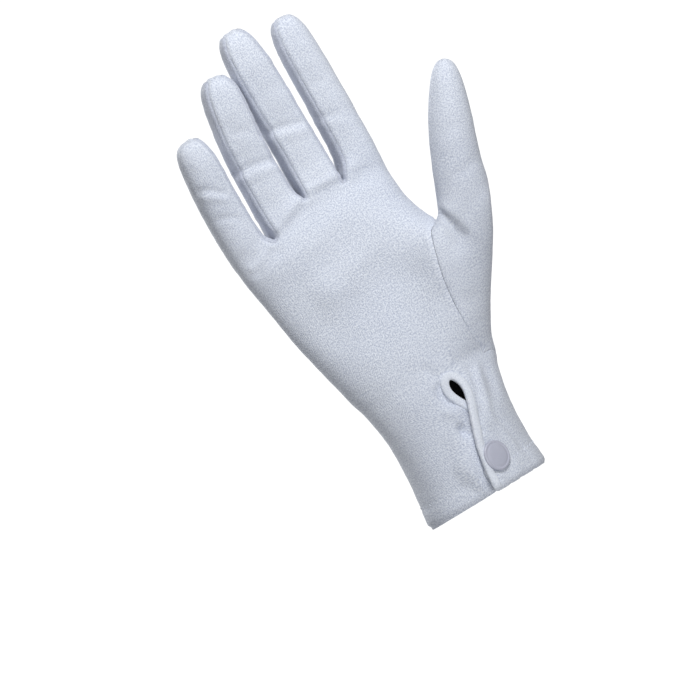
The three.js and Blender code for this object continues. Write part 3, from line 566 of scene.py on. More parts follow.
    def wrist_tag(self, row: int, a: str, b: str) -> tuple[Cloth, Layer]:
        """Cloth and layer of the face between two columns of a row of the main tube.

        Args:
            row: the row's number, from the cuff.
            a: the column before the face.
            b: the column after it.

        Returns:
            The face's cloth and layer.
        """
        bound = row <= RIM_SECTION and (a == "f4" or b == "under")
        in_thumb = row >= RIM_SECTION and a in THUMB_ORDER and b in THUMB_ORDER
        cloth = Cloth.BINDING if bound else Cloth.THUMB if in_thumb else Cloth.HAND
        if row >= RIM_SECTION:
            return cloth, Layer.NONE
        if a in PALM_COLUMNS:
            return cloth, Layer.FLAP
        return cloth, Layer.UNDERLAP if a in FAR_COLUMNS else Layer.NONE

    def draw_wrist(self) -> Ring:
        """Draws the main tube from the cuff to where thumb and palm part.

        Returns:
            The ring at the thumb's crotch.
        """
        order = MAIN_ORDER
        side, far, middle = order.index("s"), order.index("p"), order.index("k6")
        anchors = [0 if i < side else middle if i < far else len(order) - 1 for i in range(len(order) - 1)]
        places = self.main_places(SECTIONS[0])
        verts = [self.bm.verts.new(place) for place in places]
        for pair in zip(verts, verts[1:]):
            self.bm.edges.new(pair)
        ring = Ring(verts, [place.z for place in places])
        for row, section in enumerate(SECTIONS[1:CROTCH_SECTION + 1]):
            places = self.main_places(section)
            tags = [self.wrist_tag(row, a, b) for a, b in zip(order, order[1:])]
            ring = self.raise_ring(ring, places, [place.z for place in places], anchors, tags)
            if row + 1 == RIM_SECTION:
                bmesh.ops.weld_verts(self.bm, targetmap={ring.verts[-1]: ring.verts[0]})
                ring.verts[-1] = ring.verts[0]
        return ring

    def join_web(
        self, front: bmesh.types.BMVert, back: bmesh.types.BMVert, place: Vector,
    ) -> bmesh.types.BMVert:
        """Adds a web's corner and its two edges between a palm corner and a back corner.

        Args:
            front: the palm corner.
            back: the back corner.
            place: where the web goes.

        Returns:
            The web's corner.
        """
        web = self.bm.verts.new(place)
        self.bm.edges.new((front, web))
        self.bm.edges.new((web, back))
        return web

    def draw_stall(
        self, root: list[bmesh.types.BMVert], start: Vector, stall: Stall, sides: list[Cloth],
    ) -> None:
        """Draws a finger from its root ring of eight corners to its closed tip.

        Args:
            root: corners from the front left round by the right, the first again at the end.
            start: where the finger's middle line starts.
            stall: the finger's sizes.
            sides: cloth of each of the eight sides.
        """
        ring = Ring(root, [vert.co.z for vert in root])
        tags = [(cloth, Layer.NONE) for cloth in sides]
        for section in stall.sections:
            places = stall_places(stall, start, section)
            along = [start.z + section.along * stall.length] * len(places)
            rows = 2 if section.along < stall.fine_below else 1
            ring = self.raise_ring(ring, places, along, [1, 1, 3, 3, 5, 5, 7, 7], tags, rows)
        rim = [self.bm.edges.get(pair) for pair in zip(ring.verts, ring.verts[1:])]
        for face in bmesh.ops.holes_fill(self.bm, edges=rim, sides=len(rim))["faces"]:
            face[self.cloth] = sides[0]
            for loop in face.loops:
                loop[self.knit].uv = loop.vert.co.xy

    def draw_fingers(self, ring: Ring, web: bmesh.types.BMVert) -> None:
        """Draws the palm above the thumb and the four fingers.

        Args:
            ring: the ring at the thumb's crotch.
            web: the corner of the web between thumb and palm.
        """
        named = {**dict(zip(MAIN_ORDER, ring.verts)), "w": web}
        verts = [named[column] for column in KNUCKLE_ORDER]
        ring = Ring(verts, [vert.co.z for vert in verts])
        order = KNUCKLE_ORDER
        far, back_middle, front_middle = (order.index(column) for column in ("p", "k6", "f4"))
        anchors = [back_middle if i < far else front_middle for i in range(len(order) - 1)]
        tags = [(Cloth.HAND, Layer.NONE)] * (len(order) - 1)
        for section in SECTIONS[CROTCH_SECTION + 1:]:
            places = self.palm_places(section, section is SECTIONS[-1])
            ring = self.raise_ring(ring, places, [place.z for place in places], anchors, tags, 2)
        top = dict(zip(order, ring.verts))
        webs = []
        for column in (4, 6, 8):
            front, back = top[f"f{column}"], top[f"k{column}"]
            rise = Vector((0.0, 0.0, self.web_rise * self.knuckle_height))
            webs.append(self.join_web(front, back, (front.co + back.co) / 2 + rise))
        for i, finger in enumerate(FINGERS):
            low, high = 2 + 2 * i, 4 + 2 * i
            root = [top[f"f{high}"], top[f"f{low + 1}"], top[f"f{low}"], webs[i - 1] if i else top["w"]]
            root += [top[f"k{low}"], top[f"k{low + 1}"], top[f"k{high}"], webs[i] if i < 3 else top["p"]]
            right = FOURCHETTES[i - 1] if i else Cloth.HAND
            left = FOURCHETTES[i] if i < 3 else Cloth.HAND
            sides = [Cloth.HAND, Cloth.HAND, right, right, Cloth.HAND, Cloth.HAND, left, left]
            middle = sum((vert.co for vert in root), Vector()) / len(root)
            start = Vector((finger.start[0] * self.hand.width, middle.y, middle.z))
            self.draw_stall([*root, root[0]], start, finger, sides)

    def draw_thumb(self, ring: Ring, web: bmesh.types.BMVert) -> None:
        """Draws the thumb's stall from the crotch up.

        Args:
            ring: the ring at the thumb's crotch.
            web: the corner of the web between thumb and palm.
        """
        named = dict(zip(MAIN_ORDER, ring.verts))
        root = [*(named[column] for column in THUMB_ORDER), web]
        across, deep = THUMB.start
        start = Vector((across * self.hand.width, deep * self.hand.depth, named["s"].co.z))
        self.draw_stall([*root, root[0]], start, THUMB, [Cloth.THUMB] * 8)

    def draw(self) -> bpy.types.Mesh:
        """Draws the whole net.

        Returns:
            The net as a mesh in millimetres, with its seams creased and its faces outwards.
        """
        ring = self.draw_wrist()
        named = dict(zip(MAIN_ORDER, ring.verts))
        front, back = named["f2"], named["k2"]
        depth = (front.co.y + back.co.y) / 2
        place = Vector((self.thumb_web_reach * self.hand.width, depth, self.thumb_crotch_height))
        web = self.join_web(front, back, place)
        self.draw_fingers(ring, web)
        self.draw_thumb(ring, web)
        crease = self.bm.edges.layers.float.new("crease_edge")
        for edge in self.bm.edges:
            cloths = {face[self.cloth] for face in edge.link_faces}
            if len(cloths) > 1 and cloths & set(FOURCHETTES):
                edge[crease] = self.seam_crease
        bmesh.ops.recalc_face_normals(self.bm, faces=self.bm.faces)
        mesh = bpy.data.meshes.new("net")
        self.bm.to_mesh(mesh)
        self.bm.free()
        return mesh


def stall_places(stall: Stall, start: Vector, section: StallSection) -> list[Vector]:
    """Corners of a finger's ring, from the front left round by the right, the first again at the end.

    Args:
        stall: the finger's sizes.
        start: where its middle line starts.
        section: the ring's section.

    Returns:
        The corners from the front left round by the right, the first again at the end.
    """
    centre, heading = start.copy(), Vector((0.0, 0.0, 1.0))
    for step in range(math.ceil(STALL_STEPS * section.along)):
        at = min(2.0, step / STALL_STEPS * 3)
        low = min(1, int(at))
        tilt = math.radians(blend(stall.lean[low], stall.lean[low + 1], at - low))
        bow = math.radians(blend(stall.curl[low], stall.curl[low + 1], at - low))
        heading = Vector((math.sin(tilt), -math.sin(bow), math.cos(tilt) * math.cos(bow))).normalized()
        centre += heading * min(1.0, STALL_STEPS * section.along - step) * stall.length / STALL_STEPS
    across = (Vector((1.0, 0.0, 0.0)) - heading * heading.x).normalized()
    deep = heading.cross(across)
    corner = 0.5 ** (1 / stall.square)
    spots = (
        (-corner, -corner), (0, -1), (corner, -corner), (1, 0),
        (corner, corner), (0, 1), (-corner, corner), (-1, 0), (-corner, -corner),
    )
    half = stall.width * ROUND_FILL / 2
    return [centre + across * a * section.wide * half + deep * d * section.deep * half for a, d in spots]


# Folds


@dataclass(frozen=True)
class Fold:
    """A fold of the cloth along a path in a plane, seen from the side that the plane faces.

    height is how far it stands out of the cloth, or in where it is negative, reach is how far it spreads to
    each side, and fade is the share of the path over which each end dies out. Without one it ends round.
    """

    path: tuple[Point, ...]
    height: float
    reach: float
    plane: Plane = Plane.PICTURE
    fade: float = 0.3

    def push(self, flat: np.ndarray) -> np.ndarray:
        """How far the fold moves each point out of the cloth.

        Args:
            flat: the points in the fold's plane.

        Returns:
            One distance for each point, before the side that it faces is allowed for.
        """
        curve = smooth_path(self.path)
        starts, steps = curve[:-1], np.diff(curve, axis=0)
        lengths = np.maximum(np.linalg.norm(steps, axis=1), 1e-6)
        travel = np.concatenate([[0.0], np.cumsum(lengths)])
        nearest = np.full(len(flat), 1e9)
        share = np.zeros(len(flat))
        for start, step, length, before in zip(starts, steps, lengths, travel):
            away = flat - start
            along = np.clip(away @ step / length ** 2, 0.0, 1.0)
            distance = np.linalg.norm(away - along[:, None] * step, axis=1)
            closer = distance < nearest
            nearest = np.where(closer, distance, nearest)
            share = np.where(closer, (before + along * length) / travel[-1], share)
        ends = 1.0
        if self.fade:
            ends = smooth_step(share, 0.0, self.fade) * smooth_step(1.0 - share, 0.0, self.fade)
        return self.height * np.exp(-(nearest / self.reach) ** 2) * ends


# Broad forms that the solids have too
BROAD_FOLDS = (
    Fold(((-45, 149), (21, 157.5)), -1.4, 5.6, fade=0.0),
    Fold(((-38.5, 139), (21, 144)), 1.0, 8.4, fade=0.0),
    Fold(((20.5, 99), (33, 125)), 1.4, 6.2, fade=0.0),
    Fold(((33, 128), (38, 109)), -1.7, 5.0, fade=0.0),
    Fold(((-22, 99), (5, 109)), -1.7, 14.0, fade=0.0),
    Fold(((-2, 43), (-7, 32)), 1.4, 5.6, fade=0.0),
)

# Folds and creases of the palm and of the fingers' fronts
PALM_FOLDS = (
    Fold(((10, 162), (17, 162.5), (26, 159)), 0.35, 2.0),
    Fold(((10.5, 163), (0, 163.2), (-10, 164)), 0.6, 1.7, fade=0.12),
    Fold(((8, 159.4), (-1, 159.6), (-9, 160.2)), -0.4, 2.0, fade=0.15),
    Fold(((-31.5, 154), (-21, 158.5), (-11, 163.5)), 0.6, 1.7, fade=0.12),
    Fold(((-30, 149.6), (-20, 154.1), (-10, 159.1)), -0.4, 2.0, fade=0.15),
    Fold(((-50, 144.5), (-41, 147), (-33, 151.5)), 0.6, 1.7, fade=0.12),
    Fold(((-49, 140.6), (-40, 143.1), (-31, 147.1)), -0.35, 2.0, fade=0.15),
    Fold(((-15, 192), (-6, 190), (6, 187)), 0.4, 2.6, fade=0.06),
    Fold(((-15, 196), (-5, 193.8), (6, 191)), -0.85, 2.0, fade=0.06),
    Fold(((-15, 200), (-5, 198), (6, 195)), -0.3, 3.4, fade=0.1),
    Fold(((-35, 182), (-25, 180.6), (-13, 178.6)), 0.45, 2.6, fade=0.06),
    Fold(((-35, 186.2), (-25, 185), (-13, 182.8)), -0.95, 2.0, fade=0.06),
    Fold(((-35, 190.5), (-25, 189), (-13, 187)), -0.35, 3.4, fade=0.1),
    Fold(((-27, 202.5), (-21, 200.4), (-15, 197.6)), -0.35, 2.0),
    Fold(((9, 187), (16, 184.6), (24, 182.4)), 0.3, 2.2),
    Fold(((9, 190.5), (16, 188.3), (24, 185.9)), -0.4, 2.0),
    Fold(((12, 203), (19, 204), (26, 201)), -0.3, 2.0),
    Fold(((-52, 183.5), (-47, 181.4), (-40, 175.6)), 0.5, 1.8, fade=0.15),
    Fold(((-53, 187), (-47, 185), (-40, 179)), -0.5, 1.7, fade=0.15),
    Fold(((-53, 172), (-46, 170.5), (-39, 166)), -0.5, 1.6),
    Fold(((-56, 195), (-51, 196), (-47, 194)), -0.35, 3.0),
    Fold(((-36, 149), (-20, 155.5), (0, 157.5), (24, 154.5)), -0.5, 3.4),
    Fold(((-26, 138), (-10, 145), (12, 146)), 0.5, 10.0),
    Fold(((20, 144), (12, 134), (1, 126.5), (-21, 119.5), (-34, 118)), 2.0, 8.5, fade=0.2),
    Fold(((31, 149), (35, 138), (37.5, 128)), -1.0, 4.0),
    Fold(((22, 66), (24, 86), (27, 106), (30, 118)), 0.6, 4.5),
    Fold(((30, 84), (32.5, 96), (34, 108)), 0.7, 4.0),
    Fold(((36.5, 127), (39.2, 119.5), (42.2, 108.5)), -2.0, 1.5, fade=0.1),
    Fold(((40.5, 128.5), (43.5, 117), (49, 102)), 0.6, 1.8),
    Fold(((12, 112), (20, 96), (24, 76)), -0.5, 5.0),
    Fold(((-38, 120), (-32, 104), (-26, 86)), -0.3, 6.0),
    Fold(((-22, 62), (-13, 67), (-4, 70)), -0.35, 4.0),
    Fold(((52, 152), (60, 154), (68, 151)), -0.3, 2.2),
    Fold(((48, 137), (56, 135), (66, 138)), -0.35, 2.8),
    Fold(((64, 172), (60, 166), (56, 163)), -0.25, 2.0),
)

# Folds by the vent and the press stud
VENT_FOLDS = (
    Fold(((-3.5, 70), (-2.5, 64), (-1, 59)), -1.0, 2.6),
    Fold(((-0.5, 61), (-3.0, 56.5), (-2.6, 50.5), (0.9, 44)), -1.8, 2.3, fade=0.3),
    Fold(((-5.5, 49), (-4.5, 45), (-1, 41)), 0.7, 2.2),
    Fold(((-3.8, 39), (-2.6, 34.5), (-2.6, 30)), -3.0, 1.9),
    Fold(((15.7, 60), (12.5, 50), (10.4, 43), (6.5, 34), (4.6, 27)), -0.75, 1.0, fade=0.1),
    Fold(((18, 60), (15, 47), (12, 38), (9.5, 28)), 0.9, 1.6, fade=0.2),
    Fold(((21.5, 60), (19.5, 47), (17, 36)), -0.8, 2.2),
    Fold(((14, 29), (20, 40), (25, 52)), 0.35, 3.2),
    Fold(((12, 10), (19, 17), (27, 22)), -0.3, 2.8),
    Fold(((-4.5, 30), (-7.3, 22.8), (-6.2, 12.1), (-5.1, 4)), -1.0, 1.6, fade=0.1),
    Fold(((-12, 30), (-14, 20), (-13, 8)), 0.4, 3.0),
)

# Folds of the back, in its own plane: across to the thumb's side, and up
BACK_FOLDS = (
    Fold(((38, 148), (28, 152), (18, 150)), -0.5, 3.0, plane=Plane.BACK),
    Fold(((16, 157), (6, 160), (-4, 158)), -0.5, 3.0, plane=Plane.BACK),
    Fold(((-8, 157), (-17, 157), (-26, 152)), -0.5, 3.0, plane=Plane.BACK),
    Fold(((-30, 147), (-38, 143), (-46, 138)), -0.5, 3.0, plane=Plane.BACK),
    Fold(((36, 190), (28, 192), (20, 190)), -0.4, 1.8, plane=Plane.BACK),
    Fold(((13, 196), (5, 198), (-4, 196)), -0.4, 1.8, plane=Plane.BACK),
    Fold(((-12, 190), (-20, 191), (-28, 188)), -0.4, 1.8, plane=Plane.BACK),
    Fold(((-36, 175), (-42, 175), (-49, 172)), -0.4, 1.8, plane=Plane.BACK),
    Fold(((34, 130), (40, 112), (44, 92)), -0.7, 5.0, plane=Plane.BACK),
    Fold(((28, 62), (12, 58), (-8, 60)), -0.5, 4.0, plane=Plane.BACK),
    Fold(((26, 40), (8, 36), (-16, 40)), 0.4, 4.5, plane=Plane.BACK),
)


# The cloth


@dataclass(frozen=True)
class Seam:
    """A seam that draws the cloth in, with a puckered lip beside it."""

    depth: float
    reach: float
    lip_place: float = 2.4  # how far off the lip's middle is, as a share of the reach
    lip_width: float = 1.3  # share of the reach
    lip_height: float = 0.45  # share of the depth
    pucker_height: float = 0.5  # share of the depth

    def push(self, away: np.ndarray, pucker: np.ndarray) -> np.ndarray:
        """How far the seam moves each point out of the cloth.

        Args:
            away: how far each point is from the seam.
            pucker: soft waves at each point, from -1 to 1.

        Returns:
            One distance for each point.
        """
        groove = np.exp(-(away / self.reach) ** 2)
        lip = np.exp(-((away - self.reach * self.lip_place) / (self.reach * self.lip_width)) ** 2)
        return self.depth * (lip * (self.lip_height + self.pucker_height * pucker) - groove)


@dataclass(frozen=True)
class HemForm:
    """The rounding of the turned-up hem."""

    swell: float = 0.3  # how far its body stands out
    body_fade: float = 4.0  # height under the stitch line in which the body falls to it
    line_depth: float = 0.32
    line_reach: float = 0.9
    edge_depth: float = 1.2  # how far the cuff's edge is drawn in
    edge_fade: float = 3.0
    top: float = 20.0  # cloth above this height isn't moved

    def push(self, height: np.ndarray, line_height: float) -> np.ndarray:
        """How far the hem's form moves each point out of the cloth.

        Args:
            height: each point's height over the cuff's slanted edge.
            line_height: the stitch line's height.

        Returns:
            One distance for each point.
        """
        line = np.exp(-((height - line_height) / self.line_reach) ** 2)
        rounding = smooth_step(height, 0.0, self.edge_fade)
        body = rounding * smooth_step(line_height - height, 0.0, self.body_fade)
        push = self.swell * body - self.line_depth * line - self.edge_depth * (1.0 - rounding)
        return push * (height < self.top)


@dataclass(frozen=True)
class Waves:
    """Soft waves of the cloth: their height, their number per millimetre along each axis, and their seed."""

    height: float
    scale: tuple[float, float, float]
    seed: float


FOURCHETTE_SEAM = Seam(0.5, 0.8)
THUMB_SEAM = Seam(0.5, 0.9)
LOOSE_WAVES = (
    Waves(0.34, (0.055, 0.055, 0.04), 1.0),
    Waves(0.2, (0.07, 0.07, 0.17), 2.0),
    Waves(0.07, (0.3, 0.3, 0.38), 3.0),
)
PUCKERS = Waves(1.0, (0.34, 0.34, 0.34), 4.0)
FOLD_FACING = 0.45  # how far the cloth must face a fold's plane for the fold's full height


@dataclass
class GloveCloth:
    """The smoothed and folded cloth, before it is cut into its pieces."""

    net: GloveNet
    levels: int = 3
    snap_height: float = 18.0
    snap_place: float = 0.28  # how far the stud stands from column f3 to column f2
    snap_stack: float = 3.3  # how far the underlap's face lies behind the flap's
    seat_radius: float = 10.5
    seat_fade: float = 6.3
    hem: HemForm = HemForm()
    root_hold: float = 0.25  # share of the thumb seam's depth that is left at its oval root
    root_low: float = 66.0  # heights between which that seam's full depth comes back
    root_high: float = 80.0
    binding_depth: float = 0.45  # groove in the cloth beside the binding
    binding_reach: float = 0.7
    mouth_band: float = 0.8  # edges of the cloth within this height belong to the cuff's mouth
    back_ray: float = 100.0  # how far off the rays to the back and to the cuff start
    cuff_ray: float = 80.0
    cuff_middle: float = 0.5  # how far to the thumb's side the middle of the cuff is

    def seat(self) -> tuple[Vector, Vector]:
        """Centre of the press stud's seat on the flap, and the way it faces.

        Returns:
            The centre in millimetres, and the direction.
        """
        low, high = SECTIONS[1], SECTIONS[2]
        heights = [self.net.section_height(section) for section in (low, high)]
        rise = (self.snap_height - heights[0]) / (heights[1] - heights[0])
        spots = []
        for column in ("f3", "f2"):
            lift = FLAP_LIFTS[column] * self.net.overlap_lift
            ends = [
                self.net.section_point(section, getattr(section, column), -1, lift)
                for section in (low, high)
            ]
            spots.append(ends[0].lerp(ends[1], rise))
        along = spots[1] - spots[0]
        facing = Vector((along.y, -along.x, 0.0)).normalized()
        return spots[0].lerp(spots[1], self.snap_place), facing

    def smooth(self, net_mesh: bpy.types.Mesh) -> bpy.types.Mesh:
        """Smooths the net with a Subdivision Surface and returns the fine mesh.

        Args:
            net_mesh: the net.

        Returns:
            The fine mesh.
        """
        holder = bpy.data.objects.new("net", net_mesh)
        bpy.context.scene.collection.objects.link(holder)
        modifier = holder.modifiers.new("smooth", "SUBSURF")
        modifier.levels = modifier.render_levels = self.levels
        modifier.uv_smooth = "NONE"
        seen = holder.evaluated_get(bpy.context.evaluated_depsgraph_get())
        fine = bpy.data.meshes.new_from_object(seen)
        bpy.data.objects.remove(holder)
        return fine

    def read(self) -> None:
        """Reads places, normals and tags out of the fine mesh."""
        count = len(self.mesh.vertices)
        flat = np.empty(count * 3)
        self.mesh.vertices.foreach_get("co", flat)
        self.places = flat.reshape(-1, 3).copy()
        corners = np.empty(len(self.mesh.loops), dtype=int)
        self.mesh.loops.foreach_get("vertex_index", corners)
        self.corners = corners.reshape(-1, 4)
        edges = np.empty(len(self.mesh.loops), dtype=int)
        self.mesh.loops.foreach_get("edge_index", edges)
        self.face_edges = edges.reshape(-1, 4)
        self.tags = {}
        for name in ("cloth", "layer"):
            values = np.empty(len(self.mesh.polygons), dtype=int)
            self.mesh.attributes[name].data.foreach_get("value", values)
            self.tags[name] = values

    def normals(self) -> np.ndarray:
        """Writes the places to the mesh and reads its normals.

        Returns:
            One normal for each vertex.
        """
        self.mesh.vertices.foreach_set("co", self.places.ravel())
        self.mesh.update()
        flat = np.empty(len(self.places) * 3)
        self.mesh.vertex_normals.foreach_get("vector", flat)
        return flat.reshape(-1, 3)

    def of_tag(self, name: str, *values: int) -> np.ndarray:
        """Marks the vertices of the faces with a tag.

        Args:
            name: the tag, cloth or layer.
            values: the tag's values to mark.

        Returns:
            True for each vertex of such a face.
        """
        marked = np.zeros(len(self.places), dtype=bool)
        marked[self.corners[np.isin(self.tags[name], values)].ravel()] = True
        return marked

    def press(self, folds: tuple[Fold, ...]) -> None:
        """Presses folds into the side that they are seen from.

        Args:
            folds: the folds, each in its own plane.
        """
        normals = self.normals()
        forward = np.array(VIEW.forward)
        picture = VIEW.flatten(self.places)
        total = np.zeros(len(self.places))
        for fold in folds:
            if fold.plane is Plane.PICTURE:
                flat, facing = picture, -(normals @ forward)
            else:
                flat, facing = self.places[:, [0, 2]], normals[:, 1]
            total += fold.push(flat) * smooth_step(facing, 0.0, FOLD_FACING)
        self.places += normals * total[:, None]

    def flatten_seat(self) -> None:
        """Flattens flap and underlap where the press stud holds them."""
        centre, facing = (np.array(part) for part in self.seat())
        for layer, level in ((Layer.FLAP, 0.0), (Layer.UNDERLAP, -self.snap_stack)):
            away = self.places - centre
            height = away @ facing
            radius = np.linalg.norm(away - height[:, None] * facing, axis=1)
            hold = 1.0 - smooth_step(radius, self.seat_radius, self.seat_radius + self.seat_fade)
            hold = hold * self.of_tag("layer", layer)
            self.places += facing * ((level - height) * hold)[:, None]

    def seam_points(self, accept: Callable[[np.ndarray, np.ndarray, np.ndarray], np.ndarray]) -> list[Vector]:
        """Points along the edges whose two cloths pass a test.

        Args:
            accept: takes the lower and the higher cloth beside an edge, and the number of its faces.

        Returns:
            Points at the edges' ends and middles.
        """
        edges = len(self.mesh.edges)
        low, high = np.full(edges, max(Cloth)), np.zeros(edges, dtype=int)
        count = np.zeros(edges, dtype=int)
        cloths = np.repeat(self.tags["cloth"], 4)
        spots = self.face_edges.ravel()
        np.minimum.at(low, spots, cloths)
        np.maximum.at(high, spots, cloths)
        np.add.at(count, spots, 1)
        ends = np.empty(edges * 2, dtype=int)
        self.mesh.edges.foreach_get("vertices", ends)
        kept = self.places[ends.reshape(-1, 2)[accept(low, high, count)]]
        points = np.concatenate([kept[:, 0], kept[:, 1], kept.mean(axis=1)])
        return [Vector(point) for point in points]

    def distance_to(self, points: list[Vector]) -> np.ndarray:
        """Distance from each vertex to the nearest of some points.

        Args:
            points: the points.

        Returns:
            One distance for each vertex.
        """
        tree = KDTree(len(points))
        for number, point in enumerate(points):
            tree.insert(point, number)
        tree.balance()
        return np.array([tree.find(place)[2] for place in self.places])

    def sew(self) -> None:
        """Draws the cloth in along its seams, with soft puckers beside them."""
        normals = self.normals()
        pucker = self.wave_heights(PUCKERS)
        fourchette = self.seam_points(lambda low, high, count: (low != high) & np.isin(high, FOURCHETTES))
        thumb = self.seam_points(lambda low, high, count: (low == Cloth.HAND) & (high == Cloth.THUMB))
        rise = smooth_step(self.places[:, 2], self.root_low, self.root_high)
        hold = self.root_hold + (1.0 - self.root_hold) * rise
        total = FOURCHETTE_SEAM.push(self.distance_to(fourchette), pucker)
        total += THUMB_SEAM.push(self.distance_to(thumb), pucker) * hold
        edge = self.seam_points(lambda low, high, count: (high == Cloth.BINDING) & (count == 1))
        beside = (self.distance_to(edge) - self.net.binding_width) / self.binding_reach
        near = self.of_tag("cloth", Cloth.HAND, Cloth.BINDING)
        total -= self.binding_depth * np.exp(-beside ** 2) * near
        self.places += normals * total[:, None]

    def vent_edge(self, inset: float) -> list[tuple[Vector, Vector]]:
        """Places and normals of the cloth beside the vent's edge.

        Args:
            inset: how far into the cloth from the edge.

        Returns:
            A run from the cuff up one side, round the vent's top and down the other side.
        """
        bm = bmesh.new()
        bm.from_mesh(self.mesh)
        tag = bm.faces.layers.int["cloth"]
        level = self.hem_level()
        rim = [
            edge for edge in bm.edges
            if edge.is_boundary and edge.link_faces[0][tag] == Cloth.BINDING
            and max(level[vert.index] for vert in edge.verts) > self.mouth_band
        ]
        mates = {}
        for edge in rim:
            for vert in edge.verts:
                mates.setdefault(vert, []).append(edge)
        vert = next(vert for vert, edges in mates.items() if len(edges) == 1)
        spots, edge = [], None
        while vert:
            edge = next((other for other in mates[vert] if other is not edge), None)
            inner = [face.calc_center_median() for face in vert.link_faces if face[tag] == Cloth.BINDING]
            spots.append((vert.co.copy(), vert.normal.copy(), sum(inner, Vector()) / len(inner)))
            vert = edge.other_vert(vert) if edge else None
        bm.free()
        run = []
        for i, (place, normal, inner) in enumerate(spots):
            along = (spots[min(i + 1, len(spots) - 1)][0] - spots[max(i - 1, 0)][0]).normalized()
            across = normal.cross(along).normalized()
            across = across if across.dot(inner - place) > 0 else -across
            run.append((place + across * inset, normal))
        return run

    def wave_heights(self, waves: Waves) -> np.ndarray:
        """Height of some waves at each vertex.

        Args:
            waves: their height, scale and seed.

        Returns:
            One height for each vertex, above or below 0.
        """
        offset = Vector((waves.seed, waves.seed * 1.7, waves.seed * 2.3))
        spots = self.places * np.array(waves.scale)
        return waves.height * np.array([noise.noise(Vector(spot) + offset) for spot in spots])

    def loosen(self) -> None:
        """Adds the small waves of worn knit."""
        normals = self.normals()
        total = sum(self.wave_heights(waves) for waves in LOOSE_WAVES)
        self.places += normals * total[:, None]

    def fold_hem(self) -> None:
        """Rounds the folded hem out and draws in its stitch line."""
        normals = self.normals()
        push = self.hem.push(self.hem_level(), self.net.hem_height)
        push = push * self.of_tag("cloth", Cloth.HAND, Cloth.BINDING)
        self.places += normals * push[:, None]

    def hem_level(self) -> np.ndarray:
        """Height of each vertex over the cuff's slanted edge.

        Returns:
            One height for each vertex.
        """
        across = self.places[:, 0] / self.net.cuff.width
        deep = self.places[:, 1] / self.net.cuff.depth
        slant = self.net.cuff_rise_far * (0.5 - across) + self.net.cuff_rise_palm * (0.5 - deep)
        height = self.places[:, 2]
        return (height - slant * self.net.hem_height) / (1.0 - slant)

    def make(self) -> None:
        """Makes the fine cloth: smoothed, folded, seated and sewn."""
        self.mesh = self.smooth(self.net.draw())
        self.read()
        self.press(BROAD_FOLDS)
        self.flatten_seat()
        self.press(PALM_FOLDS)
        self.press(VENT_FOLDS)
        self.press(BACK_FOLDS)
        self.loosen()
        self.fold_hem()
        self.sew()
        self.normals()
        self.tree = BVHTree.FromPolygons([Vector(place) for place in self.places], self.corners.tolist())

    def cut(self, cloth: Cloth) -> bpy.types.Mesh:
        """Cuts one cloth out of the fine mesh, in metres. The hand runs on under the binding.

        Args:
            cloth: which cloth.

        Returns:
            Its mesh, a sheet without thickness.
        """
        bm = bmesh.new()
        bm.from_mesh(self.mesh)
        tag = bm.faces.layers.int["cloth"]
        kept = (Cloth.HAND, Cloth.BINDING) if cloth is Cloth.HAND else (cloth,)
        others = [face for face in bm.faces if face[tag] not in kept]
        bmesh.ops.delete(bm, geom=others, context="FACES")
        bmesh.ops.scale(bm, vec=(METRES,) * 3, verts=bm.verts)
        for face in bm.faces:
            face.smooth = True
        mesh = bpy.data.meshes.new(NODES[cloth])
        bm.to_mesh(mesh)
        bm.free()
        return mesh

    def on_palm(self, point: Point) -> tuple[Vector, Vector]:
        """Place and normal of the cloth behind a point of the picture's plane.

        Args:
            point: the point, across and up in millimetres.

        Returns:
            The place and the normal, or None twice.
        """
        start, direction = VIEW.ray(point)
        place, normal, _, _ = self.tree.ray_cast(start, direction)
        return place, normal

    def on_back(self, point: Point) -> tuple[Vector, Vector]:
        """Place and normal of the cloth of the back at a point of the back's plane.

        Args:
            point: the point, across and up in millimetres.

        Returns:
            The place and the normal, or None twice.
        """
        start = Vector((point[0], self.back_ray, point[1]))
        place, normal, _, _ = self.tree.ray_cast(start, Vector((0.0, -1.0, 0.0)))
        return place, normal

    def round_cuff(self, turn: float, level: float) -> tuple[Vector, Vector]:
        """Place and normal of the cloth at a turn round the cuff, at a height over its slanted edge.

        Args:
            turn: angle round the cuff from the thumb's side, in radians.
            level: height over the edge.

        Returns:
            The place and the normal, or None twice.
        """
        out = Vector((math.cos(turn), math.sin(turn), 0.0))
        slant = self.net.cuff_rise_far * (1 - out.x) / 2 + self.net.cuff_rise_palm * (1 - out.y) / 2
        height = level + slant * (self.net.hem_height - level)
        start = out * self.cuff_ray + Vector((self.cuff_middle, 0.0, height))
        place, normal, _, _ = self.tree.ray_cast(start, -out)
        return place, normal


# Finishes


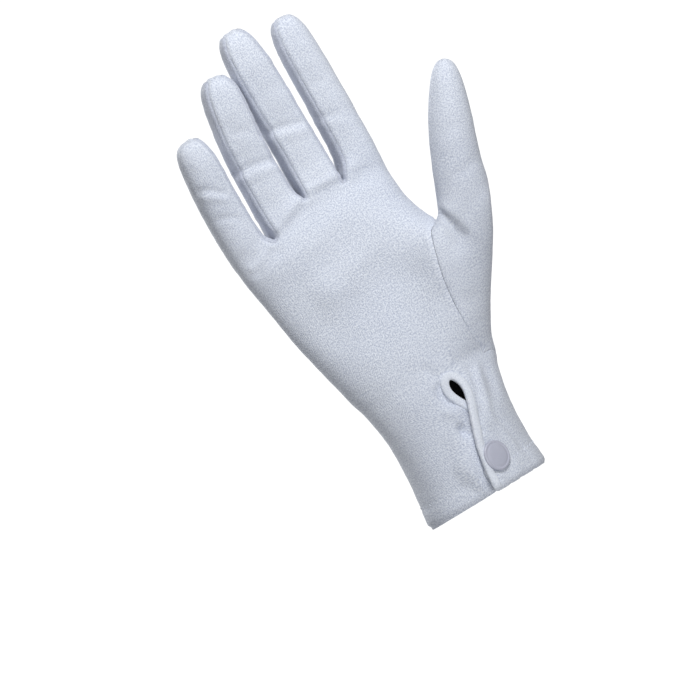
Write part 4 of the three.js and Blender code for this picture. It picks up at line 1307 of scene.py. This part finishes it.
@dataclass(frozen=True)
class Value:
    """A node's output in an expression. Its operators add the nodes that work them out."""

    kit: "NodeKit"
    socket: bpy.types.NodeSocket

    def math(self, operation: str, *others: "Value | float") -> "Value":
        """Adds a Math node that starts with this value."""
        return self.kit.math(operation, self, *others)

    def __add__(self, other: "Value | float") -> "Value":
        """Sum of two values."""
        return self.math("ADD", other)

    def __radd__(self, other: float) -> "Value":
        """Sum with a number in front."""
        return self.math("ADD", other)

    def __sub__(self, other: "Value | float") -> "Value":
        """Difference of two values."""
        return self.math("SUBTRACT", other)

    def __rsub__(self, other: float) -> "Value":
        """A number less this value."""
        return self.kit.math("SUBTRACT", other, self)

    def __mul__(self, other: "Value | float") -> "Value":
        """Product of two values."""
        return self.math("MULTIPLY", other)

    def __rmul__(self, other: float) -> "Value":
        """Product with a number in front."""
        return self.math("MULTIPLY", other)

    def __truediv__(self, other: "Value | float") -> "Value":
        """Quotient of two values."""
        return self.math("DIVIDE", other)

    def __rtruediv__(self, other: float) -> "Value":
        """A number over this value."""
        return self.kit.math("DIVIDE", other, self)

    def __abs__(self) -> "Value":
        """This value without its sign."""
        return self.math("ABSOLUTE")


class NodeKit:
    """Adds nodes to one tree."""

    def __init__(self, tree: bpy.types.NodeTree) -> None:
        """Keeps the tree and empties it."""
        self.tree = tree
        tree.nodes.clear()

    def node(
        self, kind: str, settings: dict[str, object] | None = None,
        inputs: dict[str | int, object] | None = None, output: str | int = 0,
    ) -> Value:
        """Adds one node.

        Args:
            kind: the node's type.
            settings: its properties, set first.
            inputs: a value or a link for each socket.
            output: the output to return.

        Returns:
            The output, ready for an expression.
        """
        return Value(self, self.add(kind, settings, inputs).outputs[output])

    def add(
        self, kind: str, settings: dict[str, object] | None = None,
        inputs: dict[str | int, object] | None = None,
    ) -> bpy.types.Node:
        """Adds one node with its settings, and then its values and links.

        Args:
            kind: the node's type.
            settings: its properties.
            inputs: a value or a link for each socket.

        Returns:
            The node.
        """
        made = self.tree.nodes.new(kind)
        for name, value in (settings or {}).items():
            setattr(made, name, value)
        for key, value in (inputs or {}).items():
            if isinstance(value, Value):
                self.tree.links.new(value.socket, made.inputs[key])
            else:
                made.inputs[key].default_value = value
        return made

    def math(self, operation: str, *values: Value | float) -> Value:
        """Adds a Math node."""
        return self.node("ShaderNodeMath", {"operation": operation}, dict(enumerate(values)))

    def mix(self, factor: Value | float, low: Value | Colour, high: Value | Colour) -> Value:
        """Mixes two colours. The numbers are the sockets of the node's colour form."""
        return self.node("ShaderNodeMix", {"data_type": "RGBA"}, {0: factor, 6: low, 7: high}, 2)

    def split(self, vector: Value) -> tuple[Value, ...]:
        """Splits a vector into its three parts."""
        node = self.add("ShaderNodeSeparateXYZ", {}, {"Vector": vector})
        return tuple(Value(self, part) for part in node.outputs)

    def scaled(self, vector: Value, scale: tuple[float, float, float]) -> Value:
        """Scales a vector's parts."""
        return self.node("ShaderNodeVectorMath", {"operation": "MULTIPLY"}, {0: vector, 1: scale})

    def map(self, value: Value, low: float, high: float, to_low: float = 0.0, to_high: float = 1.0) -> Value:
        """Maps a range onto another and keeps within it."""
        sizes = {"From Min": low, "From Max": high, "To Min": to_low, "To Max": to_high}
        return self.node("ShaderNodeMapRange", {"clamp": True}, {"Value": value, **sizes})

    def noise(self, vector: Value, scale: float, detail: float = 2.0, roughness: float = 0.5) -> Value:
        """Noise from 0 to 1."""
        sizes = {"Vector": vector, "Scale": scale, "Detail": detail, "Roughness": roughness}
        return self.node("ShaderNodeTexNoise", {"noise_dimensions": "3D"}, sizes)

    def bump(self, height: Value, strength: float, distance: float) -> Value:
        """Bumps the surface by a height."""
        inputs = {"Height": height, "Strength": strength, "Distance": distance}
        return self.node("ShaderNodeBump", {}, inputs)

    def surface(self, **inputs: object) -> None:
        """Ends the tree in a Principled shader, with underscores for the spaces in its sockets' names.

        Args:
            inputs: a value or a link for each socket that isn't left as it is.
        """
        named = {name.replace("_", " "): value for name, value in inputs.items()}
        shader = self.node("ShaderNodeBsdfPrincipled", {}, named)
        self.add("ShaderNodeOutputMaterial", {}, {"Surface": shader})


def new_material(name: str) -> tuple[bpy.types.Material, NodeKit]:
    """Args:
        name: the material's name.

    Returns:
        The material and its kit.
    """
    material = bpy.data.materials.new(name)
    material.use_nodes = True
    return material, NodeKit(material.node_tree)


@dataclass(frozen=True)
class KnitFinish:
    """Fine cotton knit. wale and course are a stitch's width and height in millimetres."""

    name: str = "cotton_knit"
    light: Colour = (0.865, 0.9, 0.965, 1.0)
    shade: Colour = (0.49, 0.53, 0.64, 1.0)
    wale: float = 0.95
    course: float = 0.8
    relief: float = 0.55  # strength of the bumps
    relief_height: float = 0.00045  # their height in metres
    stipple: float = 1.35  # spots of stipple per millimetre
    stipple_share: float = 0.78  # shares of the stipple, the stitches' painted shade and soft clouds in the tone
    stitch_shade_share: float = 0.1
    cloud_share: float = 0.12

    def pattern(self, kit: NodeKit) -> tuple[Value, Value]:
        """Height of the stitches, and the stipple that the yarn's fibres give, both from 0 to 1.


        Returns:
            The height and the stipple.
        """
        spot = kit.node("ShaderNodeUVMap", {"uv_map": "knit"})
        across, up, _ = kit.split(spot)
        wander = kit.noise(spot, 0.35, 2.0) - 0.5
        wale = (across + wander * 0.5) / self.wale
        side = abs(wale.math("FRACT") - 0.5) * 2.0
        course = (up + wander * 0.5) / self.course + side * 0.4
        loop = (course * (2 * math.pi)).math("SINE") * 0.5 + 0.5
        height = (1.0 - side * side) * (loop * 0.55 + 0.45)
        stipple = kit.noise(spot, self.stipple, 2.0, 0.65)
        return height, stipple

    def build(self) -> bpy.types.Material:
        """Makes the material.

        Returns:
            The material.
        """
        material, kit = new_material(self.name)
        height, stipple = self.pattern(kit)
        place = kit.node("ShaderNodeTexCoord", {}, {}, "Object")
        cloud = kit.map(kit.noise(place, 28.0, 3.0), 0.35, 0.65)
        # Painted shade: the stitches' height lightens their crests and darkens the knit between them
        tone = kit.map(stipple, 0.395, 0.605) * self.stipple_share + height * self.stitch_shade_share
        tone = tone + cloud * self.cloud_share
        colour = kit.mix(tone.math("MINIMUM", 1.0), self.shade, self.light)
        relief = height * 0.25 + stipple
        normal = kit.bump(relief, self.relief, self.relief_height)
        rough = kit.map(height, 0.0, 1.0, 0.98, 0.86)
        kit.surface(
            Base_Color=colour, Roughness=rough, Normal=normal, Sheen_Weight=0.25, Sheen_Roughness=0.6,
            Specular_IOR_Level=0.25,
        )
        return material


@dataclass(frozen=True)
class LiningFinish:
    """The cloth's inner side, with the shade of the hollow past the hem painted into its colour."""

    name: str = "cotton_lining"
    light: Colour = (0.74, 0.77, 0.84, 1.0)
    shade: Colour = (0.6, 0.63, 0.7, 1.0)
    # Painted shade: the near-black colour that the lining takes deep in the hollow
    deep: Colour = (0.012, 0.01, 0.011, 1.0)
    hem_end: float = 0.016  # height in metres up to which the lining stays light
    painted_shade_start: float = 0.042  # and from which it is painted dark as shade

    def build(self) -> bpy.types.Material:
        """Makes the material.

        Returns:
            The material.
        """
        material, kit = new_material(self.name)
        place = kit.node("ShaderNodeTexCoord", {}, {}, "Object")
        height = kit.split(place)[2]
        # Painted shade: the lining darkens with height, as the hollow past the hem does in shadow
        depth = kit.map(height, self.hem_end, self.painted_shade_start)
        grain = kit.noise(place, 900.0, 3.0)
        cloth = kit.mix(grain, self.shade, self.light)
        colour = kit.mix(depth, cloth, self.deep)
        kit.surface(Base_Color=colour, Roughness=0.95, Normal=kit.bump(grain, 0.4, 0.0003))
        return material


@dataclass(frozen=True)
class ThreadFinish:
    """Twisted cotton thread of the stitches."""

    name: str = "cotton_thread"
    light: Colour = (0.82, 0.85, 0.91, 1.0)
    shade: Colour = (0.64, 0.68, 0.77, 1.0)

    def build(self) -> bpy.types.Material:
        """Makes the material.

        Returns:
            The material.
        """
        material, kit = new_material(self.name)
        place = kit.node("ShaderNodeTexCoord", {}, {}, "Object")
        grain = kit.noise(place, 2600.0, 2.0)
        kit.surface(
            Base_Color=kit.mix(grain, self.shade, self.light), Roughness=0.8,
            Normal=kit.bump(grain, 0.5, 0.0001), Sheen_Weight=0.2,
        )
        return material


@dataclass(frozen=True)
class SnapFinish:
    """Smooth moulded press stud, a little lavender, satin with faint scuffs."""

    name: str = "snap_resin"
    light: Colour = (0.56, 0.57, 0.66, 1.0)
    shade: Colour = (0.5, 0.51, 0.61, 1.0)

    def build(self) -> bpy.types.Material:
        """Makes the material.

        Returns:
            The material.
        """
        material, kit = new_material(self.name)
        place = kit.node("ShaderNodeTexCoord", {}, {}, "Object")
        cloud = kit.noise(place, 180.0, 3.0)
        scuff = kit.noise(kit.scaled(place, (1.0, 1.0, 6.0)), 900.0, 4.0, 0.7)
        rough = kit.map(scuff, 0.4, 0.7, 0.32, 0.46)
        kit.surface(
            Base_Color=kit.mix(cloud, self.shade, self.light), Roughness=rough,
            Normal=kit.bump(scuff, 0.12, 0.00005),
        )
        return material


# Pieces


def place_piece(obj: bpy.types.Object, slot: str, *nodes: str) -> None:
    """Links a piece, rides it on the part's body and stands it for its CAD nodes.

    Args:
        obj: the piece.
        slot: not used.
        nodes: the CAD nodes that it stands for.
    """
    bpy.context.scene.collection.objects.link(obj)
    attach(obj, "root")
    if nodes:
        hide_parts(*nodes)
    LOG.info("%s: %d faces", obj.name, len(obj.data.polygons))


def finish_mesh(bm: bmesh.types.BMesh, name: str, material: bpy.types.Material) -> bpy.types.Object:
    """Scales a mesh from millimetres to metres and makes it an object.

    Args:
        bm: the mesh in millimetres, freed here.
        name: the piece's name.
        material: its material.

    Returns:
        The object, with its place in its mesh.
    """
    bmesh.ops.recalc_face_normals(bm, faces=bm.faces)
    bmesh.ops.scale(bm, vec=(METRES,) * 3, verts=bm.verts)
    for face in bm.faces:
        face.smooth = True
    mesh = bpy.data.meshes.new(name)
    bm.to_mesh(mesh)
    bm.free()
    mesh.materials.append(material)
    return bpy.data.objects.new(name, mesh)


@dataclass
class ClothPieces:
    """The cloth's pieces, each cut out of the fine cloth and given its wall."""

    cloth: GloveCloth
    knit: bpy.types.Material
    shaded_fourchette_knit: bpy.types.Material
    lining: bpy.types.Material
    thickness: float = 1.1
    edge_round: float = 0.32
    edge_angle: float = 60.0  # edges sharper than this are rounded
    hem_overlap: float = 2.0  # how far the hem's second layer runs on past its stitch line

    def hem_group(self, obj: bpy.types.Object) -> None:
        """Weights the vertices so that the folded hem is two layers thick and the rest one.

        Args:
            obj: the hand's cloth.
        """
        group = obj.vertex_groups.new(name="layers")
        top = self.cloth.net.hem_height + self.hem_overlap
        hem, rest = [], []
        for vert in obj.data.vertices:
            (hem if vert.co.z / METRES < top else rest).append(vert.index)
        group.add(hem, 1.0, "REPLACE")
        group.add(rest, 0.5, "REPLACE")

    def wall(self, obj: bpy.types.Object, thickness: float) -> bpy.types.Modifier:
        """Gives a piece its wall and rounds its edges.

        Args:
            obj: the piece.
            thickness: its wall's thickness in millimetres.

        Returns:
            The modifier that makes the wall.
        """
        solid = obj.modifiers.new("wall", "SOLIDIFY")
        solid.thickness = thickness * METRES
        solid.offset = -1.0
        solid.use_even_offset = False
        solid.use_quality_normals = True
        solid.material_offset = 1
        solid.material_offset_rim = 0
        bevel = obj.modifiers.new("edges", "BEVEL")
        bevel.width = self.edge_round * METRES
        bevel.segments = 2
        bevel.limit_method = "ANGLE"
        bevel.angle_limit = math.radians(self.edge_angle)
        bevel.harden_normals = False
        return solid

    def build(self) -> None:
        """Makes every piece of cloth."""
        for cloth, node in NODES.items():
            mesh = self.cloth.cut(cloth)
            # The fourchettes take a darker knit: painted shade between the fingers
            mesh.materials.append(self.shaded_fourchette_knit if cloth in FOURCHETTES else self.knit)
            mesh.materials.append(self.lining)
            obj = bpy.data.objects.new(f"{node}_cloth", mesh)
            if cloth is Cloth.HAND:
                self.hem_group(obj)
                solid = self.wall(obj, self.thickness * 2)
                solid.vertex_group = "layers"
            else:
                self.wall(obj, self.thickness)
            place_piece(obj, "cotton", node)


@dataclass
class Sweep:
    """A round section drawn along a path that lies on the cloth.

    square is 2 for an ellipse and more for a flatter, boxier section. tip is the size at the ends, and taper
    says how fast they widen from it.
    """

    width: float
    height: float
    sides: int = 8
    square: float = 2.0
    tip: float = 0.3
    taper: float = 3.5

    def frames(self, spots: list[tuple[Vector, Vector]], stand: float) -> list[Matrix]:
        """A frame at each spot: x across the path, y out of the cloth and z along it.

        Args:
            spots: places and normals of the cloth along the path.
            stand: how far the frames stand out of the cloth, or in where it is negative.

        Returns:
            One frame for each spot.
        """
        frames = []
        for i, (place, normal) in enumerate(spots):
            ahead, behind = spots[min(i + 1, len(spots) - 1)][0], spots[max(i - 1, 0)][0]
            along = (ahead - behind).normalized()
            across = normal.cross(along).normalized()
            out = along.cross(across)
            turn = Matrix((across, out, along)).transposed().to_4x4()
            frames.append(Matrix.Translation(place + out * stand) @ turn)
        return frames

    def draw(self, bm: bmesh.types.BMesh, spots: list[tuple[Vector, Vector]], stand: float) -> None:
        """Draws the section along the spots, with ends that taper and close.

        Args:
            bm: the mesh to draw in.
            spots: places and normals of the cloth along the path.
            stand: how far the section's middle stands out of the cloth, or in where it is negative.
        """
        frames = self.frames(spots, stand)
        count = len(frames) - 1
        sizes = []
        for i in range(len(frames)):
            size = min(1.0, self.tip + self.taper * math.sqrt(min(i, count - i) / count))
            sizes.append(Matrix.Diagonal((self.width / 2 * size, self.height / 2 * size, 1.0, 1.0)))
        steps = [frame_at @ size for frame_at, size in zip(frames, sizes)]
        verts = bmesh.ops.create_circle(bm, cap_ends=True, segments=self.sides, radius=1.0)["verts"]
        for vert in verts:
            for axis in (0, 1):
                vert.co[axis] = math.copysign(abs(vert.co[axis]) ** (2 / self.square), vert.co[axis])
        bmesh.ops.transform(bm, matrix=steps[0], verts=verts)
        ring = list(dict.fromkeys(edge for vert in verts for edge in vert.link_edges))
        for before, after in zip(steps, steps[1:]):
            grown = bmesh.ops.extrude_edge_only(bm, edges=ring)["geom"]
            verts = [part for part in grown if isinstance(part, bmesh.types.BMVert)]
            bmesh.ops.transform(bm, matrix=after @ before.inverted(), verts=verts)
            fresh = set(verts)
            edges = [part for part in grown if isinstance(part, bmesh.types.BMEdge)]
            ring = [edge for edge in edges if set(edge.verts) <= fresh]
        bmesh.ops.holes_fill(bm, edges=ring, sides=self.sides)


def lay_knit(obj: bpy.types.Object) -> None:
    """Lays the knit's coordinates on a piece by its place on the glove, in millimetres.

    Args:
        obj: the piece.
    """
    layer = obj.data.uv_layers.new(name="knit")
    for loop in obj.data.loops:
        place = obj.data.vertices[loop.vertex_index].co / METRES
        layer.data[loop.index].uv = (place.x + place.y, place.z)


def even_spots(spots: list[tuple[Vector, Vector]], gap: float) -> list[tuple[Vector, Vector]]:
    """Picks spots along a dense run so that they stand an even gap apart.

    Args:
        spots: places and normals along the run.
        gap: the distance between two picked spots.

    Returns:
        The picked spots.
    """
    picked = [spots[0]]
    travel = 0.0
    for before, spot in zip(spots, spots[1:]):
        travel += (spot[0] - before[0]).length
        if travel >= gap:
            picked.append(spot)
            travel -= gap
    return picked


@dataclass
class StitchRun:
    """A row of stitches on the cloth: small pads of thread, an even gap apart."""

    length: float
    gap: float
    width: float = 0.55
    height: float = 0.42
    stand: float = 0.05  # how far a pad's middle stands out of the cloth
    slant: float = 0.0  # degrees that the pads are turned across the row

    def draw(self, bm: bmesh.types.BMesh, dense: list[tuple[Vector, Vector]]) -> None:
        """Draws the row along a dense run of places and normals.

        Args:
            bm: the mesh to draw in.
            dense: places and normals of the cloth along the row.
        """
        frames = Sweep(self.width, self.height).frames(even_spots(dense, self.gap), self.stand)
        size = Matrix.Diagonal((self.width / 2, self.height / 2, self.length / 2, 1.0))
        turn = Matrix.Rotation(math.radians(self.slant), 4, "Y")
        for spot in frames[1:-1]:
            bmesh.ops.create_uvsphere(bm, u_segments=6, v_segments=5, radius=1.0, matrix=spot @ turn @ size)


@dataclass
class RaisedPoints:
    """The three raised points of the back: pin tucks with their rows of stitches."""

    cloth: GloveCloth
    knit: bpy.types.Material
    thread: bpy.types.Material
    width: float = 2.3
    height: float = 2.6
    stand: float = 0.1  # how far a tuck's middle stands out of the cloth
    beside: float = 0.56  # how far the stitches are from the middle, as a share of the width
    paths: tuple[tuple[Point, ...], ...] = (
        ((11.8, 144), (10.6, 125), (8.2, 103), (4.2, 66.5)),
        ((-13, 144), (-12.3, 130), (-10.9, 112), (-7.6, 85)),
        ((-30.9, 134.5), (-28.6, 119), (-24.4, 99), (-15.2, 66.5)),
    )

    def spots(self, path: tuple[Point, ...]) -> list[tuple[Vector, Vector]]:
        """Places and normals of the cloth along a point's path."""
        return [self.cloth.on_back(tuple(point)) for point in smooth_path(path, PATH_STEPS)]

    def build(self) -> None:
        """Makes the tucks as one piece and their stitches as another."""
        tucks, rows = bmesh.new(), bmesh.new()
        for path in self.paths:
            spots = self.spots(path)
            Sweep(self.width, self.height, sides=12).draw(tucks, spots, self.stand)
            for side in (-1, 1):
                shift = side * self.width * self.beside
                line = [self.cloth.on_back((place.x + shift, place.z)) for place, _ in spots]
                StitchRun(length=1.5, gap=2.3).draw(rows, line)
        obj = finish_mesh(tucks, "raised_points", self.knit)
        lay_knit(obj)
        place_piece(obj, "cotton")
        place_piece(finish_mesh(rows, "point_stitches", self.thread), "cotton")


@dataclass
class VentBinding:
    """The folded strip that binds the vent's edge: up the flap, round the top and down the underlap."""

    cloth: GloveCloth
    knit: bpy.types.Material
    width: float = 4.0
    stand: float = 0.75  # how far it stands out of the cloth on each side
    wall: float = 1.1  # thickness of the cloth that it holds
    overhang: float = 0.15  # how far it runs out past the cloth's edge

    def build(self) -> None:
        """Makes the strip as a flat roll that holds the cloth's edge."""
        spots = self.cloth.vent_edge(self.width / 2 - self.overhang)
        bm = bmesh.new()
        roll = Sweep(self.width, self.wall + 2 * self.stand, sides=16, square=3.0, tip=0.9)
        roll.draw(bm, spots, -self.wall / 2)
        obj = finish_mesh(bm, "vent_binding_roll", self.knit)
        lay_knit(obj)
        place_piece(obj, "binding", "vent_binding")


@dataclass
class SeamStitches:
    """The rows of stitches round the hem and along the flap."""

    cloth: GloveCloth
    thread: bpy.types.Material
    hem_level: float = 13.4
    hem_start: float = 100.0  # where round the cuff the hem's row starts and ends, in degrees
    hem_samples: int = 720
    flap_rows: tuple[tuple[Point, ...], ...] = (
        ((15.2, 61), (12.3, 51), (9.9, 43), (6.3, 34), (4.2, 27.5)),
    )

    def hem_spots(self) -> list[tuple[Vector, Vector]]:
        """Places and normals of the cloth round the hem's stitch line.

        Returns:
            The places and normals in order.
        """
        start = math.radians(self.hem_start)
        turns = [math.tau * i / self.hem_samples + start for i in range(self.hem_samples)]
        spots = [self.cloth.round_cuff(turn, self.hem_level) for turn in turns]
        return [spot for spot in spots if spot[0] is not None]

    def build(self) -> None:
        """Makes the hem's row and the flap's rows."""
        hem = bmesh.new()
        StitchRun(length=1.2, gap=3.0, width=0.5, slant=60.0).draw(hem, self.hem_spots())
        place_piece(finish_mesh(hem, "hem_stitches", self.thread), "cotton")
        flap = bmesh.new()
        for row in self.flap_rows:
            spots = [self.cloth.on_palm(tuple(point)) for point in smooth_path(row, PATH_STEPS)]
            StitchRun(length=1.5, gap=2.2).draw(flap, spots)
        place_piece(finish_mesh(flap, "flap_stitches", self.thread), "cotton")


@dataclass
class PressStud:
    """The press stud: a cap with its socket on the flap and a stud behind the underlap."""

    cloth: GloveCloth
    resin: bpy.types.Material
    diameter: float = 14.0
    thickness: float = 1.6
    seat_gap: float = 0.3
    segments: int = 64
    stud_outline: tuple[Point, ...] = (
        (0.0, -5.6), (4.2, -5.5), (4.8, -5.2), (4.8, -4.9), (4.4, -4.7), (1.4, -4.7), (1.4, -3.15),
        (1.8, -3.15), (1.8, -2.5), (1.4, -2.3), (0.0, -2.25),
    )

    def spin(self, outline: tuple[Point, ...], name: str) -> bpy.types.Object:
        """Spins an outline of radius and height round the stud's axis.

        Args:
            outline: the outline from the axis round to the axis.
            name: the piece's name.

        Returns:
            The piece.
        """
        centre, facing = self.cloth.seat()
        bm = bmesh.new()
        verts = [bm.verts.new((radius, 0.0, height)) for radius, height in outline]
        edges = [bm.edges.new(pair) for pair in zip(verts, verts[1:])]
        bmesh.ops.spin(
            bm, geom=[*verts, *edges], cent=(0, 0, 0), axis=(0, 0, 1), dvec=(0, 0, 0), angle=math.tau,
            steps=self.segments, use_merge=True,
        )
        bmesh.ops.remove_doubles(bm, verts=bm.verts, dist=1e-4)
        turn = Vector((0.0, 0.0, 1.0)).rotation_difference(facing).to_matrix().to_4x4()
        bmesh.ops.transform(bm, matrix=Matrix.Translation(centre) @ turn, verts=bm.verts)
        return finish_mesh(bm, name, self.resin)

    def cap_outline(self) -> tuple[Point, ...]:
        """The cap's outline: a socket behind the flap, a neck through it and a domed face with a rim.

        Returns:
            Radius and height of each point.
        """
        low, top = self.seat_gap, self.seat_gap + self.thickness
        socket = ((0.0, -2.0), (2.1, -2.0), (2.1, -3.0), (4.3, -3.0), (4.3, -1.7), (2.0, -1.7), (2.0, low))
        side = ((0.93, low), (0.985, low + 0.16), (1.0, low + 0.5), (0.99, low + 0.86))
        rim = (
            (0.955, top - 0.36), (0.9, top - 0.24), (0.86, top - 0.26), (0.825, top - 0.42),
            (0.79, top - 0.44), (0.74, top - 0.24),
        )
        dome = ((0.6, top - 0.12), (0.3, top - 0.02), (0.0, top))
        radius = self.diameter / 2
        return (*socket, *((radius * share, height) for share, height in (*side, *rim, *dome)))

    def build(self) -> None:
        """Makes the cap and the stud."""
        place_piece(self.spin(self.cap_outline(), "snap_cap_face"), "snap", "snap_cap")
        place_piece(self.spin(self.stud_outline, "snap_stud_face"), "snap", "snap_stud")


# Light and camera


@dataclass
class Studio:
    """A pale floor, soft lights and the photograph's camera. Its lengths are in metres."""

    key_place: tuple[float, float, float] = (-0.06, 0.52, 0.42)  # from the glove: right, up and nearer
    key_size: float = 0.3
    key_power: float = 2.95
    fill_shift: float = 0.25  # from the camera to the picture's right
    fill_size: float = 0.5
    fill_power: float = 3.5
    back_place: tuple[float, float, float] = (-0.7, 0.9, 0.5)  # from the glove: right, farther and up
    back_size: float = 0.6
    back_power: float = 12.0
    tint: tuple[float, float, float] = (0.97, 0.985, 1.0)
    sky: float = 0.13  # strength of the surroundings as light
    sky_seen: float = 1.1  # their strength as the camera sees them
    floor_drop: float = 0.45
    floor_radius: float = 0.9

    def camera(self) -> None:
        """Adds the camera at the photograph's viewing angle."""
        data = bpy.data.cameras.new("camera")
        data.lens, data.sensor_width = VIEW.lens, VIEW.sensor
        data.clip_start, data.clip_end = 0.05, 50.0
        obj = bpy.data.objects.new("camera", data)
        obj.matrix_world = VIEW.matrix()
        bpy.context.scene.collection.objects.link(obj)
        bpy.context.scene.camera = obj

    def soft_light(self, name: str, place: Vector, aim: Vector, size: float, power: float) -> None:
        """Adds a round soft light.

        Args:
            name: the light's name.
            place: where it stands.
            aim: what it shines at.
            size: how wide it is.
            power: its power in watts.
        """
        data = bpy.data.lights.new(name, "AREA")
        data.shape, data.size, data.energy = "DISK", size, power
        data.color = self.tint
        obj = bpy.data.objects.new(name, data)
        obj.location = place
        obj.rotation_mode = "QUATERNION"
        obj.rotation_quaternion = (aim - place).to_track_quat("-Z", "Y")
        bpy.context.scene.collection.objects.link(obj)

    def lights(self) -> None:
        """Adds the lights: one above the glove, one to fill beside the camera and one for the back."""
        matrix = VIEW.matrix()
        aim = Vector(VIEW.target) * METRES
        side, top = matrix.col[0].to_3d(), matrix.col[1].to_3d()
        right, up, nearer = self.key_place
        key = aim + side * right + top * up - VIEW.forward * nearer
        self.soft_light("key", key, aim, self.key_size, self.key_power)
        fill = matrix.translation + side * self.fill_shift
        self.soft_light("fill", fill, aim, self.fill_size, self.fill_power)
        right, farther, up = self.back_place
        back = aim + VIEW.right * right + VIEW.forward * farther + Vector((0.0, 0.0, up))
        self.soft_light("back", back, aim, self.back_size, self.back_power)

    def world(self) -> None:
        """Makes the white surroundings, which light the glove less than they show."""
        world = bpy.data.worlds.new("studio")
        world.use_nodes = True
        bpy.context.scene.world = world
        kit = NodeKit(world.node_tree)
        seen = kit.node("ShaderNodeLightPath", {}, {}, "Is Camera Ray")
        strength = kit.map(seen, 0.0, 1.0, self.sky, self.sky_seen)
        light = kit.node("ShaderNodeBackground", {}, {"Color": (1.0, 1.0, 1.0, 1.0), "Strength": strength})
        kit.add("ShaderNodeOutputWorld", {}, {"Surface": light})

    def floor(self) -> None:
        """Adds the plain pale floor, well under the glove."""
        bm = bmesh.new()
        bmesh.ops.create_circle(bm, cap_ends=True, segments=96, radius=self.floor_radius)
        bmesh.ops.translate(bm, vec=(0.0, 0.0, -self.floor_drop), verts=bm.verts)
        mesh = bpy.data.meshes.new("floor")
        bm.to_mesh(mesh)
        bm.free()
        material, kit = new_material("pale_floor")
        kit.surface(Base_Color=(0.82, 0.82, 0.83, 1.0), Roughness=0.8)
        mesh.materials.append(material)
        obj = bpy.data.objects.new("floor", mesh)
        bpy.context.scene.collection.objects.link(obj)

    def build(self) -> None:
        """Sets the whole studio up."""
        bpy.context.scene.view_settings.view_transform = "Standard"
        self.camera()
        self.lights()
        self.world()
        self.floor()


def main() -> None:
    """Builds the glove and its studio."""
    logging.basicConfig(level=logging.INFO, format="%(message)s")
    knit, thread = KnitFinish().build(), ThreadFinish().build()
    # Darker than the hand's knit: painted shade on the strips between the fingers
    fourchette = KnitFinish("shaded_fourchette_knit", (0.66, 0.69, 0.77, 1.0), (0.42, 0.45, 0.55, 1.0)).build()
    binding = KnitFinish(
        "binding_knit", (0.86, 0.89, 0.95, 1.0), (0.66, 0.7, 0.79, 1.0), wale=0.7, course=0.6, relief=0.35,
    ).build()
    cloth = GloveCloth(GloveNet())
    cloth.make()
    ClothPieces(cloth, knit, fourchette, LiningFinish().build()).build()
    VentBinding(cloth, binding).build()
    RaisedPoints(cloth, knit, thread).build()
    SeamStitches(cloth, thread).build()
    PressStud(cloth, SnapFinish().build()).build()
    Studio().build()


if __name__ == "__main__":
    main()
